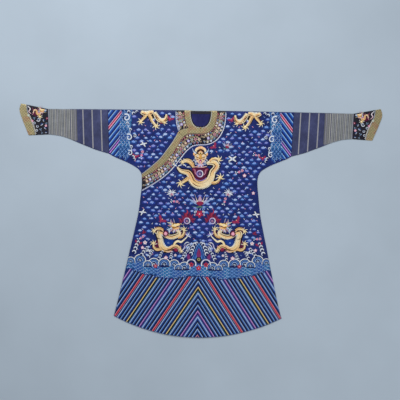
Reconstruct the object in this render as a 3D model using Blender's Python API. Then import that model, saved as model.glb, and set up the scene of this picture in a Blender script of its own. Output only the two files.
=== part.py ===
"""A chinese dragon robe laid flat on its back, with its sleeves spread.

The robe lies on the plane z = 0, front up, with its neck towards +Y. Its outline is worked out from the
shoulder line: a "depth" is a distance below that line, towards the hem. +X is the wearer's left.

The two body halves each run from the front hem over the shoulder fold to the back hem, and are closed down
the side and under the sleeve. An outer front closes over the wearer's right half, edged by a patterned band
and a gold brocade binding that sweep from the neck to the underarm. Sleeves are flattened tubes in three
lengths: a plain one, a ribbed one and a horseshoe cuff. Sizes are in metres.
"""

import math

import bmesh
import bpy
import numpy as np

MM = 0.001

# Driving sizes
ROBE_LENGTH = 1.365  # shoulder line to the hem at the centre
HALF_SPAN = 1.090  # centre line to the furthest edge of a cuff
CUFF_RISE = 0.025  # how far the cuff's upper corner stands above the shoulder line
HEM_HALF_WIDTH = 0.503
HEM_CORNER_DEPTH = 1.242
WALL = 1.5 * MM  # cloth with its lining
SEAM = 0.3 * MM  # between pieces that are sewn together, and between layers
SLEEVE_SEAM = 0.560  # centre line to the seam where the plain sleeve starts, on the shoulder line
RIBBED_SEAM = 0.787
CUFF_SEAM = 0.920
SEAM_TILT = 0.045  # how much a sleeve seam leans towards the body for each metre of its depth
SLEEVE_DROOP = 5 * MM  # of the shoulder line, at the cuff
RIBS = 13  # in each ribbed sleeve length
RIB_HEIGHT = 0.8 * MM
FULLNESS = 2.6 * MM  # how far the front rises over the air between the layers

# Heights of the layers above the floor
BACK_TOP = WALL
FRONT_TOP = 2 * WALL + SEAM
LAP_STEP = WALL + SEAM  # the outer front lies this much higher than the inner one
FOLD_ROUND = 0.8 * MM  # how far a fold's round reaches in from the outline

SHOULDER_Y = (ROBE_LENGTH - CUFF_RISE) / 2
NECK_POWER = 2.5  # of the superellipses round the neck
LAP_SLOPE = 0.12  # how far into the left half its front takes to rise to the outer front's height
INSIDE_LEFT = (0.25, 0.30)  # x and depth of a point well inside the left half, from which its folds face away
FACING_DEPTH = 0.018  # of the dark strip inside the neck
LINING_THICK = 1.0 * MM
FACING_THICK = 0.8 * MM

# Each ring round the neck: half width on the shoulder line, depth in front, depth behind
NECK_RINGS = {
    "opening": (0.058, 0.098, 0.003),
    "binding": (0.098, 0.138, 0.043),
    "collar": (0.150, 0.207, 0.095),
}

# Down the side of the body: depth, half width. The first rows are the sleeve's underside.
BODY_OUTLINE = (
    (0.268, 0.548),
    (0.284, 0.520),
    (0.301, 0.480),
    (0.319, 0.436),
    (0.340, 0.396),
    (0.360, 0.368),
    (0.388, 0.351),
    (0.425, 0.346),
    (0.525, 0.355),
    (0.620, 0.366),
    (0.720, 0.386),
    (0.820, 0.408),
    (0.920, 0.429),
    (1.020, 0.452),
    (1.120, 0.474),
    (HEM_CORNER_DEPTH, HEM_HALF_WIDTH),
)

# Along the sleeve's underside: distance from the centre line, depth
SLEEVE_UNDERSIDE = (
    (0.548, 0.268),
    (0.629, 0.245),
    (0.679, 0.226),
    (0.750, 0.198),
    (0.786, 0.183),
    (0.858, 0.163),
    (0.920, 0.157),
)

# The lapel from the neck to the underarm: x and depth of the outer edge, of the seam between binding and
# band, and of the seam between band and front
LAPEL = (
    ((-0.000, 0.098), (-0.000, 0.138), (-0.000, 0.207)),
    ((-0.045, 0.102), (-0.042, 0.138), (-0.023, 0.209)),
    ((-0.088, 0.110), (-0.078, 0.142), (-0.050, 0.218)),
    ((-0.128, 0.124), (-0.106, 0.162), (-0.084, 0.247)),
    ((-0.150, 0.160), (-0.132, 0.203), (-0.110, 0.279)),
    ((-0.175, 0.201), (-0.157, 0.243), (-0.132, 0.309)),
    ((-0.208, 0.247), (-0.184, 0.281), (-0.160, 0.345)),
    ((-0.241, 0.291), (-0.211, 0.316), (-0.204, 0.390)),
    ((-0.291, 0.338), (-0.260, 0.356), (-0.264, 0.436)),
    ((-0.350, 0.386), (-0.348, 0.409), (-0.347, 0.487)),
)

# The horseshoe cuff, from its upper corner down: share of the way, x of the binding's seam, x of the edge
CUFF_EDGE = (
    (0.00, 1.050, 1.081),
    (0.18, 1.047, HALF_SPAN),
    (0.50, 1.022, 1.072),
    (0.78, 1.003, 1.050),
    (1.00, 0.993, 1.032),
)
CUFF_LOWER_CORNER_DEPTH = 0.165

# Ball buttons: name, x, depth, radius
BUTTONS = (
    ("neck_button", 0.0, 0.104, 4.5 * MM),
    ("lapel_button", -0.126, 0.134, 4.0 * MM),
)
SHANK_SHARE = 0.35  # of a button's radius
SHANK_HEIGHT = 0.5 * MM
BUTTON_SIDES = 14

# The loops of the buttons: name, x and depth of the button, length, turn in radians away from straight down
LOOPS = (
    ("neck_loop", 0.0, 0.104, 0.025, 0.0),
    ("lapel_loop", -0.126, 0.134, 0.018, 0.75),
)
LOOP_START = 5.5 * MM  # from the middle of the button
LOOP_WIDTH = 4.0 * MM
LOOP_THICK = 1.2 * MM

# The soft folds of the front: share of the fullness, how closely they follow each other, shift
STILL_SHARE = 0.5
WIDE_FOLDS = (0.34, 9.5, 0.8)
NARROW_FOLDS = (0.16, 21.0, 0.6)
FAN_TOP, FAN_SPREAD = 0.30, 0.32  # width of the fan of folds at the shoulder line, and its growth with depth

# Roughness and metallic with each silk's colour
COLOURS = {
    "blue_silk": ("#2A3F80", 0.55, 0.0),
    "navy_silk": ("#454A70", 0.60, 0.0),
    "ribbed_silk": ("#7F848C", 0.60, 0.0),
    "gold_brocade": ("#8F8A74", 0.50, 0.2),
    "dark_band": ("#3A3540", 0.60, 0.0),
    "lining_silk": ("#2D2F5C", 0.50, 0.0),
    "facing_silk": ("#25232E", 0.60, 0.0),
    "gilt": ("#C9A25A", 0.35, 1.0),
}


def clear_scene():
    for thing in list(bpy.data.objects):
        bpy.data.objects.remove(thing)


def material(name):
    """The Principled material of that name, made once."""
    found = bpy.data.materials.get(name)
    if found:
        return found
    code, roughness, metallic = COLOURS[name]
    srgb = [int(code[k : k + 2], 16) / 255 for k in (1, 3, 5)]
    made = bpy.data.materials.new(name)
    made.use_nodes = True
    shader = made.node_tree.nodes["Principled BSDF"]
    shader.inputs["Base Color"].default_value = (*[c**2.2 for c in srgb], 1)
    shader.inputs["Roughness"].default_value = roughness
    shader.inputs["Metallic"].default_value = metallic
    return made


def smooth_step(share):
    """0 up to 0, 1 from 1, with level ends."""
    t = np.clip(share, 0.0, 1.0)
    return t * t * (3 - 2 * t)


def through(table, at, column=1):
    """A smooth curve through a table's rows: a monotone cubic of one column over the first."""
    rows = np.array(table, float)
    x, y = rows[:, 0], rows[:, column]
    h = np.diff(x)
    slope = np.diff(y) / h
    inner = np.where(
        slope[:-1] * slope[1:] > 0,
        2 * slope[:-1] * slope[1:] / np.where(slope[:-1] + slope[1:] == 0, 1, slope[:-1] + slope[1:]),
        0.0,
    )
    tangent = np.concatenate([slope[:1], inner, slope[-1:]])
    at = np.clip(np.asarray(at, float), x[0], x[-1])
    k = np.clip(np.searchsorted(x, at) - 1, 0, len(h) - 1)
    t = (at - x[k]) / h[k]
    return (
        (2 * t**3 - 3 * t**2 + 1) * y[k]
        + (t**3 - 2 * t**2 + t) * h[k] * tangent[k]
        + (-2 * t**3 + 3 * t**2) * y[k + 1]
        + (t**3 - t**2) * h[k] * tangent[k + 1]
    )


def side_half_width(depth):
    """Half width of the body at a depth: the sleeve seam down to its foot, then the side seam."""
    depth = np.asarray(depth, float)
    first_depth = BODY_OUTLINE[0][0]
    on_seam = SLEEVE_SEAM - SEAM_TILT * depth
    return np.where(depth < first_depth, on_seam, through(BODY_OUTLINE, depth))


def hem_depth(x):
    """Depth of the hem, an arc of a circle through the hem's corners and its centre."""
    drop = ROBE_LENGTH - HEM_CORNER_DEPTH
    radius = (HEM_HALF_WIDTH**2 + drop**2) / (2 * drop)
    return ROBE_LENGTH - radius + np.sqrt(radius**2 - np.minimum(np.abs(x), HEM_HALF_WIDTH) ** 2)


def droop(x, depth):
    """How much lower the shoulder line runs towards the cuff, fading out down the body."""
    return SLEEVE_DROOP * (np.abs(x) / CUFF_SEAM) ** 2 * (1 - smooth_step(depth / 0.3))


def fullness(x, depth):
    """Height of the air under the front: none at the shoulder fold and at the side, and long soft folds that
    fan out from the armholes to the hem between them."""
    inside = smooth_step(depth / 0.14) * smooth_step((side_half_width(depth) - np.abs(x)) / 0.13)
    fan = np.abs(x) / (FAN_TOP + FAN_SPREAD * depth)
    high, close, shift = WIDE_FOLDS
    wide = high * np.sin(close * fan + shift * x / (np.abs(x) + 0.06))
    high, close, shift = NARROW_FOLDS
    narrow = high * np.sin(close * fan + 2.0 * depth + shift)
    return FULLNESS * inside * (STILL_SHARE + wide + narrow)


def above_lapel(x, depth):
    """How far a point lies above the lapel's outer edge, in metres of depth."""
    edge = sorted((-outer[0], outer[1]) for outer, _, _ in LAPEL)
    return np.interp(-x, [p[0] for p in edge], [p[1] for p in edge]) - depth


def front_height(x, depth):
    """Height of the front's upper face. The left half rises near the centre to meet the outer front. The right
    half is the inner front, flat where the outer front covers it."""
    x, depth = np.asarray(x, float), np.asarray(depth, float)
    rise = LAP_STEP * (1 - smooth_step(x / LAP_SLOPE)) * smooth_step(depth / 0.07)
    left = FRONT_TOP + rise + fullness(x, depth)
    right = FRONT_TOP + fullness(x, depth) * smooth_step((above_lapel(x, depth) - 0.01) / 0.08)
    return np.where(x >= 0, left, right)


def outer_height(x, depth):
    """Height of the outer front's upper face, over the inner front."""
    return FRONT_TOP + LAP_STEP + fullness(x, depth)


def placed(x, depth, z):
    """Grid of points from arrays of x, depth and height."""
    x, depth, z = np.broadcast_arrays(x, depth, z)
    return np.stack([x, SHOULDER_Y - depth, z], -1)


class Shell:
    """A closed mesh built from grids of points. Each grid's points are added once, and faces join them."""

    def __init__(self):
        self.points = []
        self.faces = []

    def add(self, grid):
        """Adds a grid and returns the numbers of its points, in the grid's shape."""
        start = len(self.points)
        self.points += [tuple(p) for p in np.asarray(grid, float).reshape(-1, 3)]
        shape = np.shape(grid)[:-1]
        return np.arange(start, start + int(np.prod(shape))).reshape(shape)

    def skin(self, ids):
        """Faces over a grid of rows and columns."""
        a, b, c, d = ids[:-1, :-1], ids[:-1, 1:], ids[1:, 1:], ids[1:, :-1]
        self.faces += np.stack([a, b, c, d], -1).reshape(-1, 4).tolist()

    def strip(self, *lines):
        """Faces between neighbouring lines of point numbers."""
        self.skin(np.stack(lines))

    def make(self, name, colour):
        """The object, with its faces pointing out."""
        mesh = bpy.data.meshes.new(name)
        mesh.from_pydata(self.points, [], self.faces)
        work = bmesh.new()
        work.from_mesh(mesh)
        bmesh.ops.recalc_face_normals(work, faces=work.faces)
        work.to_mesh(mesh)
        work.free()
        mesh.materials.append(material(colour))
        made = bpy.data.objects.new(name, mesh)
        bpy.context.scene.collection.objects.link(made)
        return made


def slab(name, colour, upper, under):
    """A single thickness of cloth between two grids, closed round its edge."""
    shell = Shell()
    u, v = shell.add(upper), shell.add(under)
    shell.skin(u)
    shell.skin(v)
    for edge in (np.s_[0, :], np.s_[-1, :], np.s_[:, 0], np.s_[:, -1]):
        shell.strip(u[edge], v[edge])
    return shell.make(name, colour)


def outward(line, inside):
    """Unit normals in x and y along an outline, pointing away from a point inside it."""
    ahead = np.gradient(line[:, :2], axis=0)
    normal = np.stack([-ahead[:, 1], ahead[:, 0]], -1)
    normal /= np.linalg.norm(normal, axis=1)[:, None]
    away = ((line[:, :2] - inside) * normal).sum(1)
    return normal * np.where(away < 0, -1, 1)[:, None]


def flat_tube(name, colour, front, back, height, closed):
    """A tube of cloth pressed flat: a front wall over a back wall, folded into each other along closed edges.

    front and back are grids of x and depth. height gives the front's upper face. closed lists the edges that
    are folds, each with a slice of the grid's points and a point inside the outline there. Where a fold ends
    at an open edge, one face closes the wall's own cut end."""
    front_flat, inner_front = front.copy(), front.copy()
    back_flat, inner_back = back.copy(), back.copy()
    middles = []
    for edge, inside in closed:
        out = outward(front[edge], np.array(inside))
        middles.append(front[edge].copy())
        for grid, reach in ((front_flat, 1), (back_flat, 1), (inner_front, 2), (inner_back, 2)):
            grid[edge] -= out * FOLD_ROUND * reach
    shell = Shell()
    top = height(front[..., 0], front[..., 1])
    plain = height(front[..., 0], front[..., 1], True)
    of = shell.add(placed(front_flat[..., 0], front_flat[..., 1], top))
    jf = shell.add(placed(inner_front[..., 0], inner_front[..., 1], plain - WALL))
    jb = shell.add(placed(inner_back[..., 0], inner_back[..., 1], BACK_TOP))
    ob = shell.add(placed(back_flat[..., 0], back_flat[..., 1], 0.0))
    for grid in (of, jf, jb, ob):
        shell.skin(grid)
    rows, columns = of.shape
    folded = np.zeros((rows, columns), bool)
    for (edge, _), middle in zip(closed, middles):
        m = shell.add(placed(middle[:, 0], middle[:, 1], FRONT_TOP / 2))
        shell.strip(of[edge], m, ob[edge])
        shell.strip(jf[edge], jb[edge])
        folded[edge] = True
        for end in (0, -1):
            shell.faces.append([of[edge][end], jf[edge][end], jb[edge][end], ob[edge][end], m[end]])
    rim = [(0, c) for c in range(columns)]
    rim += [(r, columns - 1) for r in range(1, rows)]
    rim += [(rows - 1, c) for c in range(columns - 2, -1, -1)]
    rim += [(r, 0) for r in range(rows - 2, -1, -1)]
    in_fold = {frozenset(pair) for edge, _ in closed for pair in neighbours(edge, (rows, columns))}
    for a, b in zip(rim, rim[1:]):
        if frozenset((a, b)) not in in_fold:
            shell.strip(np.array([of[a], of[b]]), np.array([jf[a], jf[b]]))
            shell.strip(np.array([ob[a], ob[b]]), np.array([jb[a], jb[b]]))
    return shell.make(name, colour)


def neighbours(edge, shape):
    """The pairs of neighbouring grid places along a slice."""
    places = np.stack(np.meshgrid(*[np.arange(n) for n in shape], indexing="ij"), -1)[edge]
    along = [tuple(int(v) for v in p) for p in places]
    return list(zip(along, along[1:]))


def ring_point(ring, turn, behind, grow=0.0):
    """x and depth on a ring round the neck. turn is 0 on the shoulder line and 90 degrees at the centre."""
    half, front_deep, back_deep = NECK_RINGS[ring]
    deep = back_deep if behind else front_deep
    x = (half + grow) * np.maximum(np.cos(turn), 0.0) ** (2 / NECK_POWER)
    depth = (deep + grow) * np.sin(turn) ** (2 / NECK_POWER)
    return np.stack([x, depth], -1)


TURNS = np.radians(np.linspace(0, 90, 14))
BODY_COLUMNS = 9
BELOW_COLLAR = (0.235, 0.268, 0.284, 0.301, 0.319, 0.340, 0.360, 0.388, 0.425, 0.500)
BELOW_COLLAR += tuple(np.linspace(0.59, HEM_CORNER_DEPTH, 8))


def body_grid(behind, side):
    """x and depth over one half of the front or back, from the neck and centre line out to the side. side is
    1 for the wearer's left. The first row is the shoulder fold and the last the hem."""
    ring = ring_point("collar", TURNS, behind, SEAM / 2)
    ring[-1, 0] = SEAM / 2
    centre_depths = np.linspace(ring[-1, 1], ROBE_LENGTH, len(BELOW_COLLAR) + 1)[1:]
    inner = np.concatenate([ring, np.stack([np.full(len(centre_depths), SEAM / 2), centre_depths], -1)])
    upper_depths = np.linspace(0, 0.215, len(TURNS))
    outer_depths = np.concatenate([upper_depths, BELOW_COLLAR])
    outer = np.stack([side_half_width(outer_depths), outer_depths], -1)
    outer[outer_depths <= BODY_OUTLINE[0][0], 0] -= SEAM / 2
    share = np.linspace(0, 1, BODY_COLUMNS + 1)[None, :, None]
    grid = inner[:, None] + (outer - inner)[:, None] * share
    bend = np.linspace(0, 1, len(inner))[:, None] ** 6
    chord = ROBE_LENGTH + (HEM_CORNER_DEPTH - ROBE_LENGTH) * share[..., 0]
    grid[..., 1] += bend * (hem_depth(grid[..., 0]) - chord)
    grid[..., 1] += droop(grid[..., 0], grid[..., 1])
    grid[..., 0] *= side
    return grid


def body_half(name, side):
    """A body half: front and back in one wall, folded over the shoulder, and closed under the sleeve and down
    the side."""
    front, back = body_grid(False, side), body_grid(True, side)
    under_sleeve = len(TURNS) + 1
    inside = (side * INSIDE_LEFT[0], INSIDE_LEFT[1])
    closed = [(np.s_[0, :], inside), (np.s_[under_sleeve:, -1], inside)]
    back[0], back[under_sleeve:, -1] = front[0], front[under_sleeve:, -1]
    return flat_tube(name, "blue_silk", front, back, lambda x, d, plain=False: front_height(x, d), closed)


def ring_strip(name, colour, inner, outer, side):
    """A band between two rings round the neck, from the centre front over the shoulder to the centre back."""
    share = np.array([0.0, 0.5, 1.0])[None, :, None]

    def half(behind):
        a = ring_point(inner, TURNS, behind, SEAM / 2)
        b = ring_point(outer, TURNS, behind, -SEAM / 2)
        a[-1, 0] = b[-1, 0] = SEAM / 2
        grid = a[:, None] + (b - a)[:, None] * share
        grid[..., 1] += droop(grid[..., 0], grid[..., 1])
        return grid * (side, 1)

    front, back = half(False), half(True)
    fold = front[:1]
    reach = np.array([0.0, FOLD_ROUND])
    front_z = front_height(front[..., 0], front[..., 1])
    upper = [
        placed(front[::-1][:-1, :, 0], front[::-1][:-1, :, 1], front_z[::-1][:-1]),
        placed(fold[..., 0], fold[..., 1] + reach[1], FRONT_TOP),
        placed(fold[..., 0], fold[..., 1], FRONT_TOP / 2),
        placed(fold[..., 0], fold[..., 1] + reach[1], 0.0),
        placed(back[1:, :, 0], back[1:, :, 1], 0.0),
    ]
    under = [
        placed(front[::-1][:-1, :, 0], front[::-1][:-1, :, 1], front_z[::-1][:-1] - WALL),
        placed(fold[..., 0], fold[..., 1] + 2 * reach[1], FRONT_TOP - WALL),
        placed(fold[..., 0], fold[..., 1] + 2 * reach[1], FRONT_TOP / 2),
        placed(fold[..., 0], fold[..., 1] + 2 * reach[1], BACK_TOP),
        placed(back[1:, :, 0], back[1:, :, 1], BACK_TOP),
    ]
    return slab(name, colour, np.concatenate(upper), np.concatenate(under))


def lapel_lines(per_station=2):
    """The lapel's three lines, smoothed between stations by a Catmull-Rom curve: an array of lines, points
    and x with depth."""
    stations = np.array(LAPEL, float).transpose(1, 0, 2)
    before = 2 * stations[:, :1] - stations[:, 1:2]
    after = 2 * stations[:, -1:] - stations[:, -2:-1]
    p = np.concatenate([before, stations, after], 1)
    at = np.linspace(0, len(LAPEL) - 1, per_station * (len(LAPEL) - 1) + 1)
    k = np.minimum(at.astype(int), len(LAPEL) - 2)
    t = (at - k)[None, :, None]
    p0, p1, p2, p3 = (p[:, k + n] for n in range(4))
    lines = 0.5 * (
        2 * p1 + (p2 - p0) * t + (2 * p0 - 5 * p1 + 4 * p2 - p3) * t**2 + (3 * p1 - p0 - 3 * p2 + p3) * t**3
    )
    lines[:, 0, 0] = 0.0
    return lines


def seam_side(line, way):
    """One of the lapel's lines, moved half a seam towards the front (way 1) or the neck (way -1)."""
    points = lapel_lines()[line]
    ahead = np.gradient(points, axis=0)
    normal = np.stack([ahead[:, 1], -ahead[:, 0]], -1) / np.linalg.norm(ahead, axis=1)[:, None]
    return points + normal * way * SEAM / 2


def lapel_strip(name, colour, first, second, columns):
    """A strip of the outer front between two of the lapel's lines."""
    a, b = seam_side(first, 1), seam_side(second, -1)
    share = np.linspace(0, 1, columns + 1)[None, :, None]
    grid = a[:, None] + (b - a)[:, None] * share
    grid[0, :, 0] = -SEAM / 2
    z = outer_height(grid[..., 0], grid[..., 1])
    return slab(
        name,
        colour,
        placed(grid[..., 0], grid[..., 1], z),
        placed(grid[..., 0], grid[..., 1], z - WALL),
    )


def outer_front():
    """The outer front, from the lapel band's seam down to the hem and from the centre seam to the side."""
    top = seam_side(2, 1)
    columns = len(top)
    rows = 16
    down = np.linspace(0, 1, rows + 1)[:, None] ** 0.9
    side_depth = top[-1, 1] + (HEM_CORNER_DEPTH - top[-1, 1]) * down
    share_at_top = -top[:, 0] / -top[-1, 0]
    share_at_hem = np.linspace(0, 1, columns)
    share = share_at_top + (share_at_hem - share_at_top) * smooth_step(down * 1.4)
    x = -share * side_half_width(side_depth)
    x += (top[:, 0] - x[:1]) * (1 - smooth_step(down * 4))
    x[:, 0] = -SEAM / 2
    hem = hem_depth(share_at_hem * HEM_HALF_WIDTH)
    depth = top[:, 1] + (hem - top[:, 1]) * down
    depth[:, -1] = side_depth[:, 0]
    z = outer_height(x, depth)
    slab("outer_front", "blue_silk", placed(x, depth, z), placed(x, depth, z - WALL))


def neck_inside():
    """What the neck opening shows of the inside: the back's lining and the dark facing along its edge. Each
    half of its outline keeps clear of the bindings round it."""
    clear = 2 * SEAM
    ring = ring_point("opening", TURNS, False, -clear)
    top = NECK_RINGS["opening"][2]
    rows = np.stack([ring[:, 0], np.maximum(ring[:, 1], top)], -1)[1:-1]
    share = np.linspace(-1, 1, 5)
    x = rows[:, :1] * share
    depth = np.repeat(rows[:, 1:], len(share), axis=1)
    lining_top = BACK_TOP + SEAM + LINING_THICK
    slab("neck_lining", "lining_silk", placed(x, depth, lining_top), placed(x, depth, BACK_TOP + SEAM))
    facing = np.linspace(top + 0.5 * MM, top + FACING_DEPTH, 4)
    half = np.interp(facing, ring[:, 1], ring[:, 0]) - 1.0 * MM
    x = half[:, None] * share
    depth = np.repeat(facing[:, None], len(share), axis=1)
    low = lining_top + SEAM
    slab("neck_facing", "facing_silk", placed(x, depth, low + FACING_THICK), placed(x, depth, low))


def sleeve_underside(x):
    return through(SLEEVE_UNDERSIDE, x)


def sleeve_line(seam, rows):
    """x and depth down one line across the sleeve. It leaves the shoulder line at seam and leans towards the
    body, and its foot is found on the underside by stepping towards it."""
    foot = float(sleeve_underside(seam))
    for _ in range(12):
        foot = float(sleeve_underside(seam - SEAM_TILT * foot))
    high = SLEEVE_DROOP * (seam / CUFF_SEAM) ** 2
    depth = high + (foot - high) * rows
    return np.stack([seam - SEAM_TILT * depth, depth], -1)


def sleeve_tube(name, colour, grid, side, height):
    """A length of sleeve: a flat tube folded along the top and closed along the underside."""
    grid = grid * (side, 1)
    middle = (float(np.mean(grid[..., 0])), float(np.mean(grid[..., 1])))
    closed = [(np.s_[0, :], middle), (np.s_[-1, :], middle)]
    return flat_tube(name, colour, grid, grid.copy(), height, closed)


def plain_sleeve(side, label):
    rows = np.linspace(0, 1, 6)
    seams = np.linspace(SLEEVE_SEAM + SEAM / 2, RIBBED_SEAM - SEAM / 2, 7)
    grid = np.stack([sleeve_line(s, rows) for s in seams], 1)
    between = np.sin(np.pi * rows)[:, None] * np.sin(np.pi * np.linspace(0, 1, len(seams)))[None]

    def height(x, depth, plain=False):
        return FRONT_TOP + 0.6 * FULLNESS * between

    sleeve_tube(f"sleeve_{label}", "navy_silk", grid, side, height)


def ribbed_sleeve(side, label):
    """The ribs run across the sleeve. Each is a flat-topped ridge, with a valley after it."""
    rows = np.linspace(0, 1, 4)
    columns = 3 * RIBS + 1
    seams = np.linspace(RIBBED_SEAM + SEAM / 2, CUFF_SEAM - SEAM / 2, columns)
    grid = np.stack([sleeve_line(s, rows) for s in seams], 1)
    on_rib = (np.arange(columns) % 3 != 0).astype(float)[None]

    def height(x, depth, plain=False):
        return FRONT_TOP + (0.0 if plain else RIB_HEIGHT * on_rib) + np.zeros(grid.shape[:2])

    sleeve_tube(f"ribbed_sleeve_{label}", "ribbed_silk", grid, side, height)


def cuff_line(rows, column):
    """x and depth down a line of the cuff: 0 is its seam to the sleeve, 1 the binding's seam, 2 its edge."""
    if column == 0:
        return sleeve_line(CUFF_SEAM + SEAM / 2, rows)
    x = through(CUFF_EDGE, rows, column)
    edge_x = through(CUFF_EDGE, rows, 2)
    seam = sleeve_line(CUFF_SEAM + SEAM / 2, rows)
    reach = (x - seam[:, 0]) / (edge_x - seam[:, 0])
    edge_depth = -CUFF_RISE + (CUFF_LOWER_CORNER_DEPTH + CUFF_RISE) * rows
    return np.stack([x, seam[:, 1] + (edge_depth - seam[:, 1]) * reach], -1)


def cuff(side, label):
    """The horseshoe cuff and the gold binding along its edge."""
    rows = np.unique([share for share, _, _ in CUFF_EDGE] + [0.09, 0.27, 0.38, 0.64, 0.89])

    def height(x, depth, plain=False):
        return FRONT_TOP + np.zeros(np.shape(x))

    def between(first, second, columns):
        a, b = cuff_line(rows, first), cuff_line(rows, second)
        gap = SEAM / 2
        a = a + [gap if first else 0.0, 0.0]
        b = b - [gap if second == 1 else 0.0, 0.0]
        share = np.linspace(0, 1, columns + 1)[None, :, None]
        return a[:, None] + (b - a)[:, None] * share

    sleeve_tube(f"cuff_{label}", "dark_band", between(0, 1, 4), side, height)
    sleeve_tube(f"cuff_binding_{label}", "gold_brocade", between(1, 2, 2), side, height)


def ball_button(name, x, depth, radius):
    """A gilt ball on a short shank, turned about an upright axis."""
    floor_z = float(outer_height(x, depth)) + SEAM
    lowest = math.acos(SHANK_SHARE)
    angles = np.linspace(-lowest, np.pi / 2, 9)[:-1]
    centre_z = floor_z + SHANK_HEIGHT + radius * math.sin(lowest)
    profile = [(SHANK_SHARE * radius, floor_z)]
    profile += [(radius * math.cos(a), centre_z + radius * math.sin(a)) for a in angles]
    turn = np.linspace(0, 2 * np.pi, BUTTON_SIDES, endpoint=False)
    r, z = np.array(profile).T
    grid = placed(x + r[:, None] * np.cos(turn), depth + r[:, None] * np.sin(turn), z[:, None])
    shell = Shell()
    ids = shell.add(grid)
    shell.skin(np.concatenate([ids, ids[:, :1]], 1))
    tip = shell.add(placed(x, depth, centre_z + radius))
    shell.faces += [[int(a), int(b), int(tip)] for a, b in zip(ids[-1], np.roll(ids[-1], -1))]
    shell.faces.append([int(k) for k in ids[0]])
    shell.make(name, "gilt").data.shade_smooth()


def button_loop(name, x, depth, length, turn):
    """The loop's two ends, sewn down side by side: a narrow bar on the binding below the ball."""
    along = np.linspace(LOOP_START, LOOP_START + length, 7)[:, None]
    across = np.array([-0.5, 0.0, 0.5])[None] * LOOP_WIDTH
    gx = x + along * math.sin(turn) + across * math.cos(turn)
    gd = depth + along * math.cos(turn) - across * math.sin(turn)
    seat = float(np.max(outer_height(gx, gd))) + SEAM
    crown = LOOP_THICK * (1 - 0.35 * np.array([1.0, 0.0, 1.0]))[None] + np.zeros(gx.shape)
    slab(name, "gold_brocade", placed(gx, gd, seat + crown), placed(gx, gd, seat))


def main():
    clear_scene()
    body_half("body_left", 1)
    body_half("body_right", -1)
    outer_front()
    for side, label in ((1, "left"), (-1, "right")):
        ring_strip(f"neck_binding_{label}", "gold_brocade", "opening", "binding", side)
        ring_strip(f"collar_{label}", "dark_band", "binding", "collar", side)
        plain_sleeve(side, label)
        ribbed_sleeve(side, label)
        cuff(side, label)
    lapel_strip("lapel_binding", "gold_brocade", 0, 1, 2)
    lapel_strip("lapel_band", "dark_band", 1, 2, 3)
    neck_inside()
    for button in BUTTONS:
        ball_button(*button)
    for loop in LOOPS:
        button_loop(*loop)


main()
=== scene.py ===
"""Looks for a chinese dragon robe laid flat: fine cloth, couched and satin-stitched embroidery, cords and
buttons.

Places on the robe are given as x, from the centre line towards the wearer's left, and depth, below the
shoulder line towards the hem. Motifs are drawn in millimetres and laid on the cloth's own height. Every
motif is of the traditional kind that such robes share.
"""

import math

import bmesh
import bpy
import numpy as np
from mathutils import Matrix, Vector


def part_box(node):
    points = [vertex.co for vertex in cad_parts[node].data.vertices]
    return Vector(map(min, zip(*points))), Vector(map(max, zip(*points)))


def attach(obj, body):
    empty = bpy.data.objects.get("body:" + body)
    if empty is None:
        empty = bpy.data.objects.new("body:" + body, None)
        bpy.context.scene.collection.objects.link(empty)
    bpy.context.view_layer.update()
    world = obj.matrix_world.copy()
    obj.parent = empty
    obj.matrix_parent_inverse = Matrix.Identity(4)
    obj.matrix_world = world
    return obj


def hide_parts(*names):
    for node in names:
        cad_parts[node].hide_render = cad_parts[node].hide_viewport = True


bl_info = {
    "name": "Dragon robe",
    "version": (1, 0, 0),
    "blender": (4, 5, 0),
    "location": "3D View > Sidebar > Robe",
    "description": "A dragon robe laid flat, with its cloth, bindings and embroidery",
    "category": "Object",
}

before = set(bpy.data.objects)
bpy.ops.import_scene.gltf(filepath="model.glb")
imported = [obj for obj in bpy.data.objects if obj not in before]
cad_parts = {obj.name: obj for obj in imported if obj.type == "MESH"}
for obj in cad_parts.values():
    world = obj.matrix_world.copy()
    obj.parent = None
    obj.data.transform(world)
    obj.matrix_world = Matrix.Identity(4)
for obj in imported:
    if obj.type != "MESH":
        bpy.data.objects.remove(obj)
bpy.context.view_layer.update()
BODY = "root"
MM = 0.001

# Sizes shared with the solids, in metres
WALL = 1.5 * MM
SEAM = 0.3 * MM
FRONT_TOP = 2 * WALL + SEAM
LAP_STEP = WALL + SEAM
FOLD_ROUND = 0.8 * MM
FULLNESS = 2.6 * MM
LAP_SLOPE = 0.12
SHOULDER_Y = float(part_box("body_left")[1].y)
ROBE_LENGTH = SHOULDER_Y - float(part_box("body_left")[0].y)
HEM_HALF_WIDTH = 0.503
HEM_CORNER_DEPTH = 1.242
SLEEVE_SEAM = 0.560
RIBBED_SEAM = 0.787
CUFF_SEAM = 0.920
HALF_SPAN = float(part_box("cuff_binding_left")[1].x)
CUFF_RISE = float(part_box("cuff_binding_left")[1].y) - SHOULDER_Y
CUFF_LOWER_CORNER_DEPTH = 0.165
SEAM_TILT = 0.045
SLEEVE_DROOP = 5 * MM
RIBS = 13
NECK_POWER = 2.5
NECK_RINGS = {
    "opening": (0.058, 0.098, 0.003),
    "binding": (0.098, 0.138, 0.043),
    "collar": (0.150, 0.207, 0.095),
}

# Down the side of the body: depth, half width
BODY_OUTLINE = (
    (0.268, 0.548), (0.284, 0.520), (0.301, 0.480), (0.319, 0.436), (0.340, 0.396), (0.360, 0.368),
    (0.388, 0.351), (0.425, 0.346), (0.525, 0.355), (0.620, 0.366), (0.720, 0.386), (0.820, 0.408),
    (0.920, 0.429), (1.020, 0.452), (1.120, 0.474), (HEM_CORNER_DEPTH, HEM_HALF_WIDTH),
)

# Along the sleeve's underside: distance from the centre line, depth
SLEEVE_UNDERSIDE = (
    (0.548, 0.268), (0.629, 0.245), (0.679, 0.226), (0.750, 0.198), (0.786, 0.183), (0.858, 0.163),
    (0.920, 0.157),
)

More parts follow.
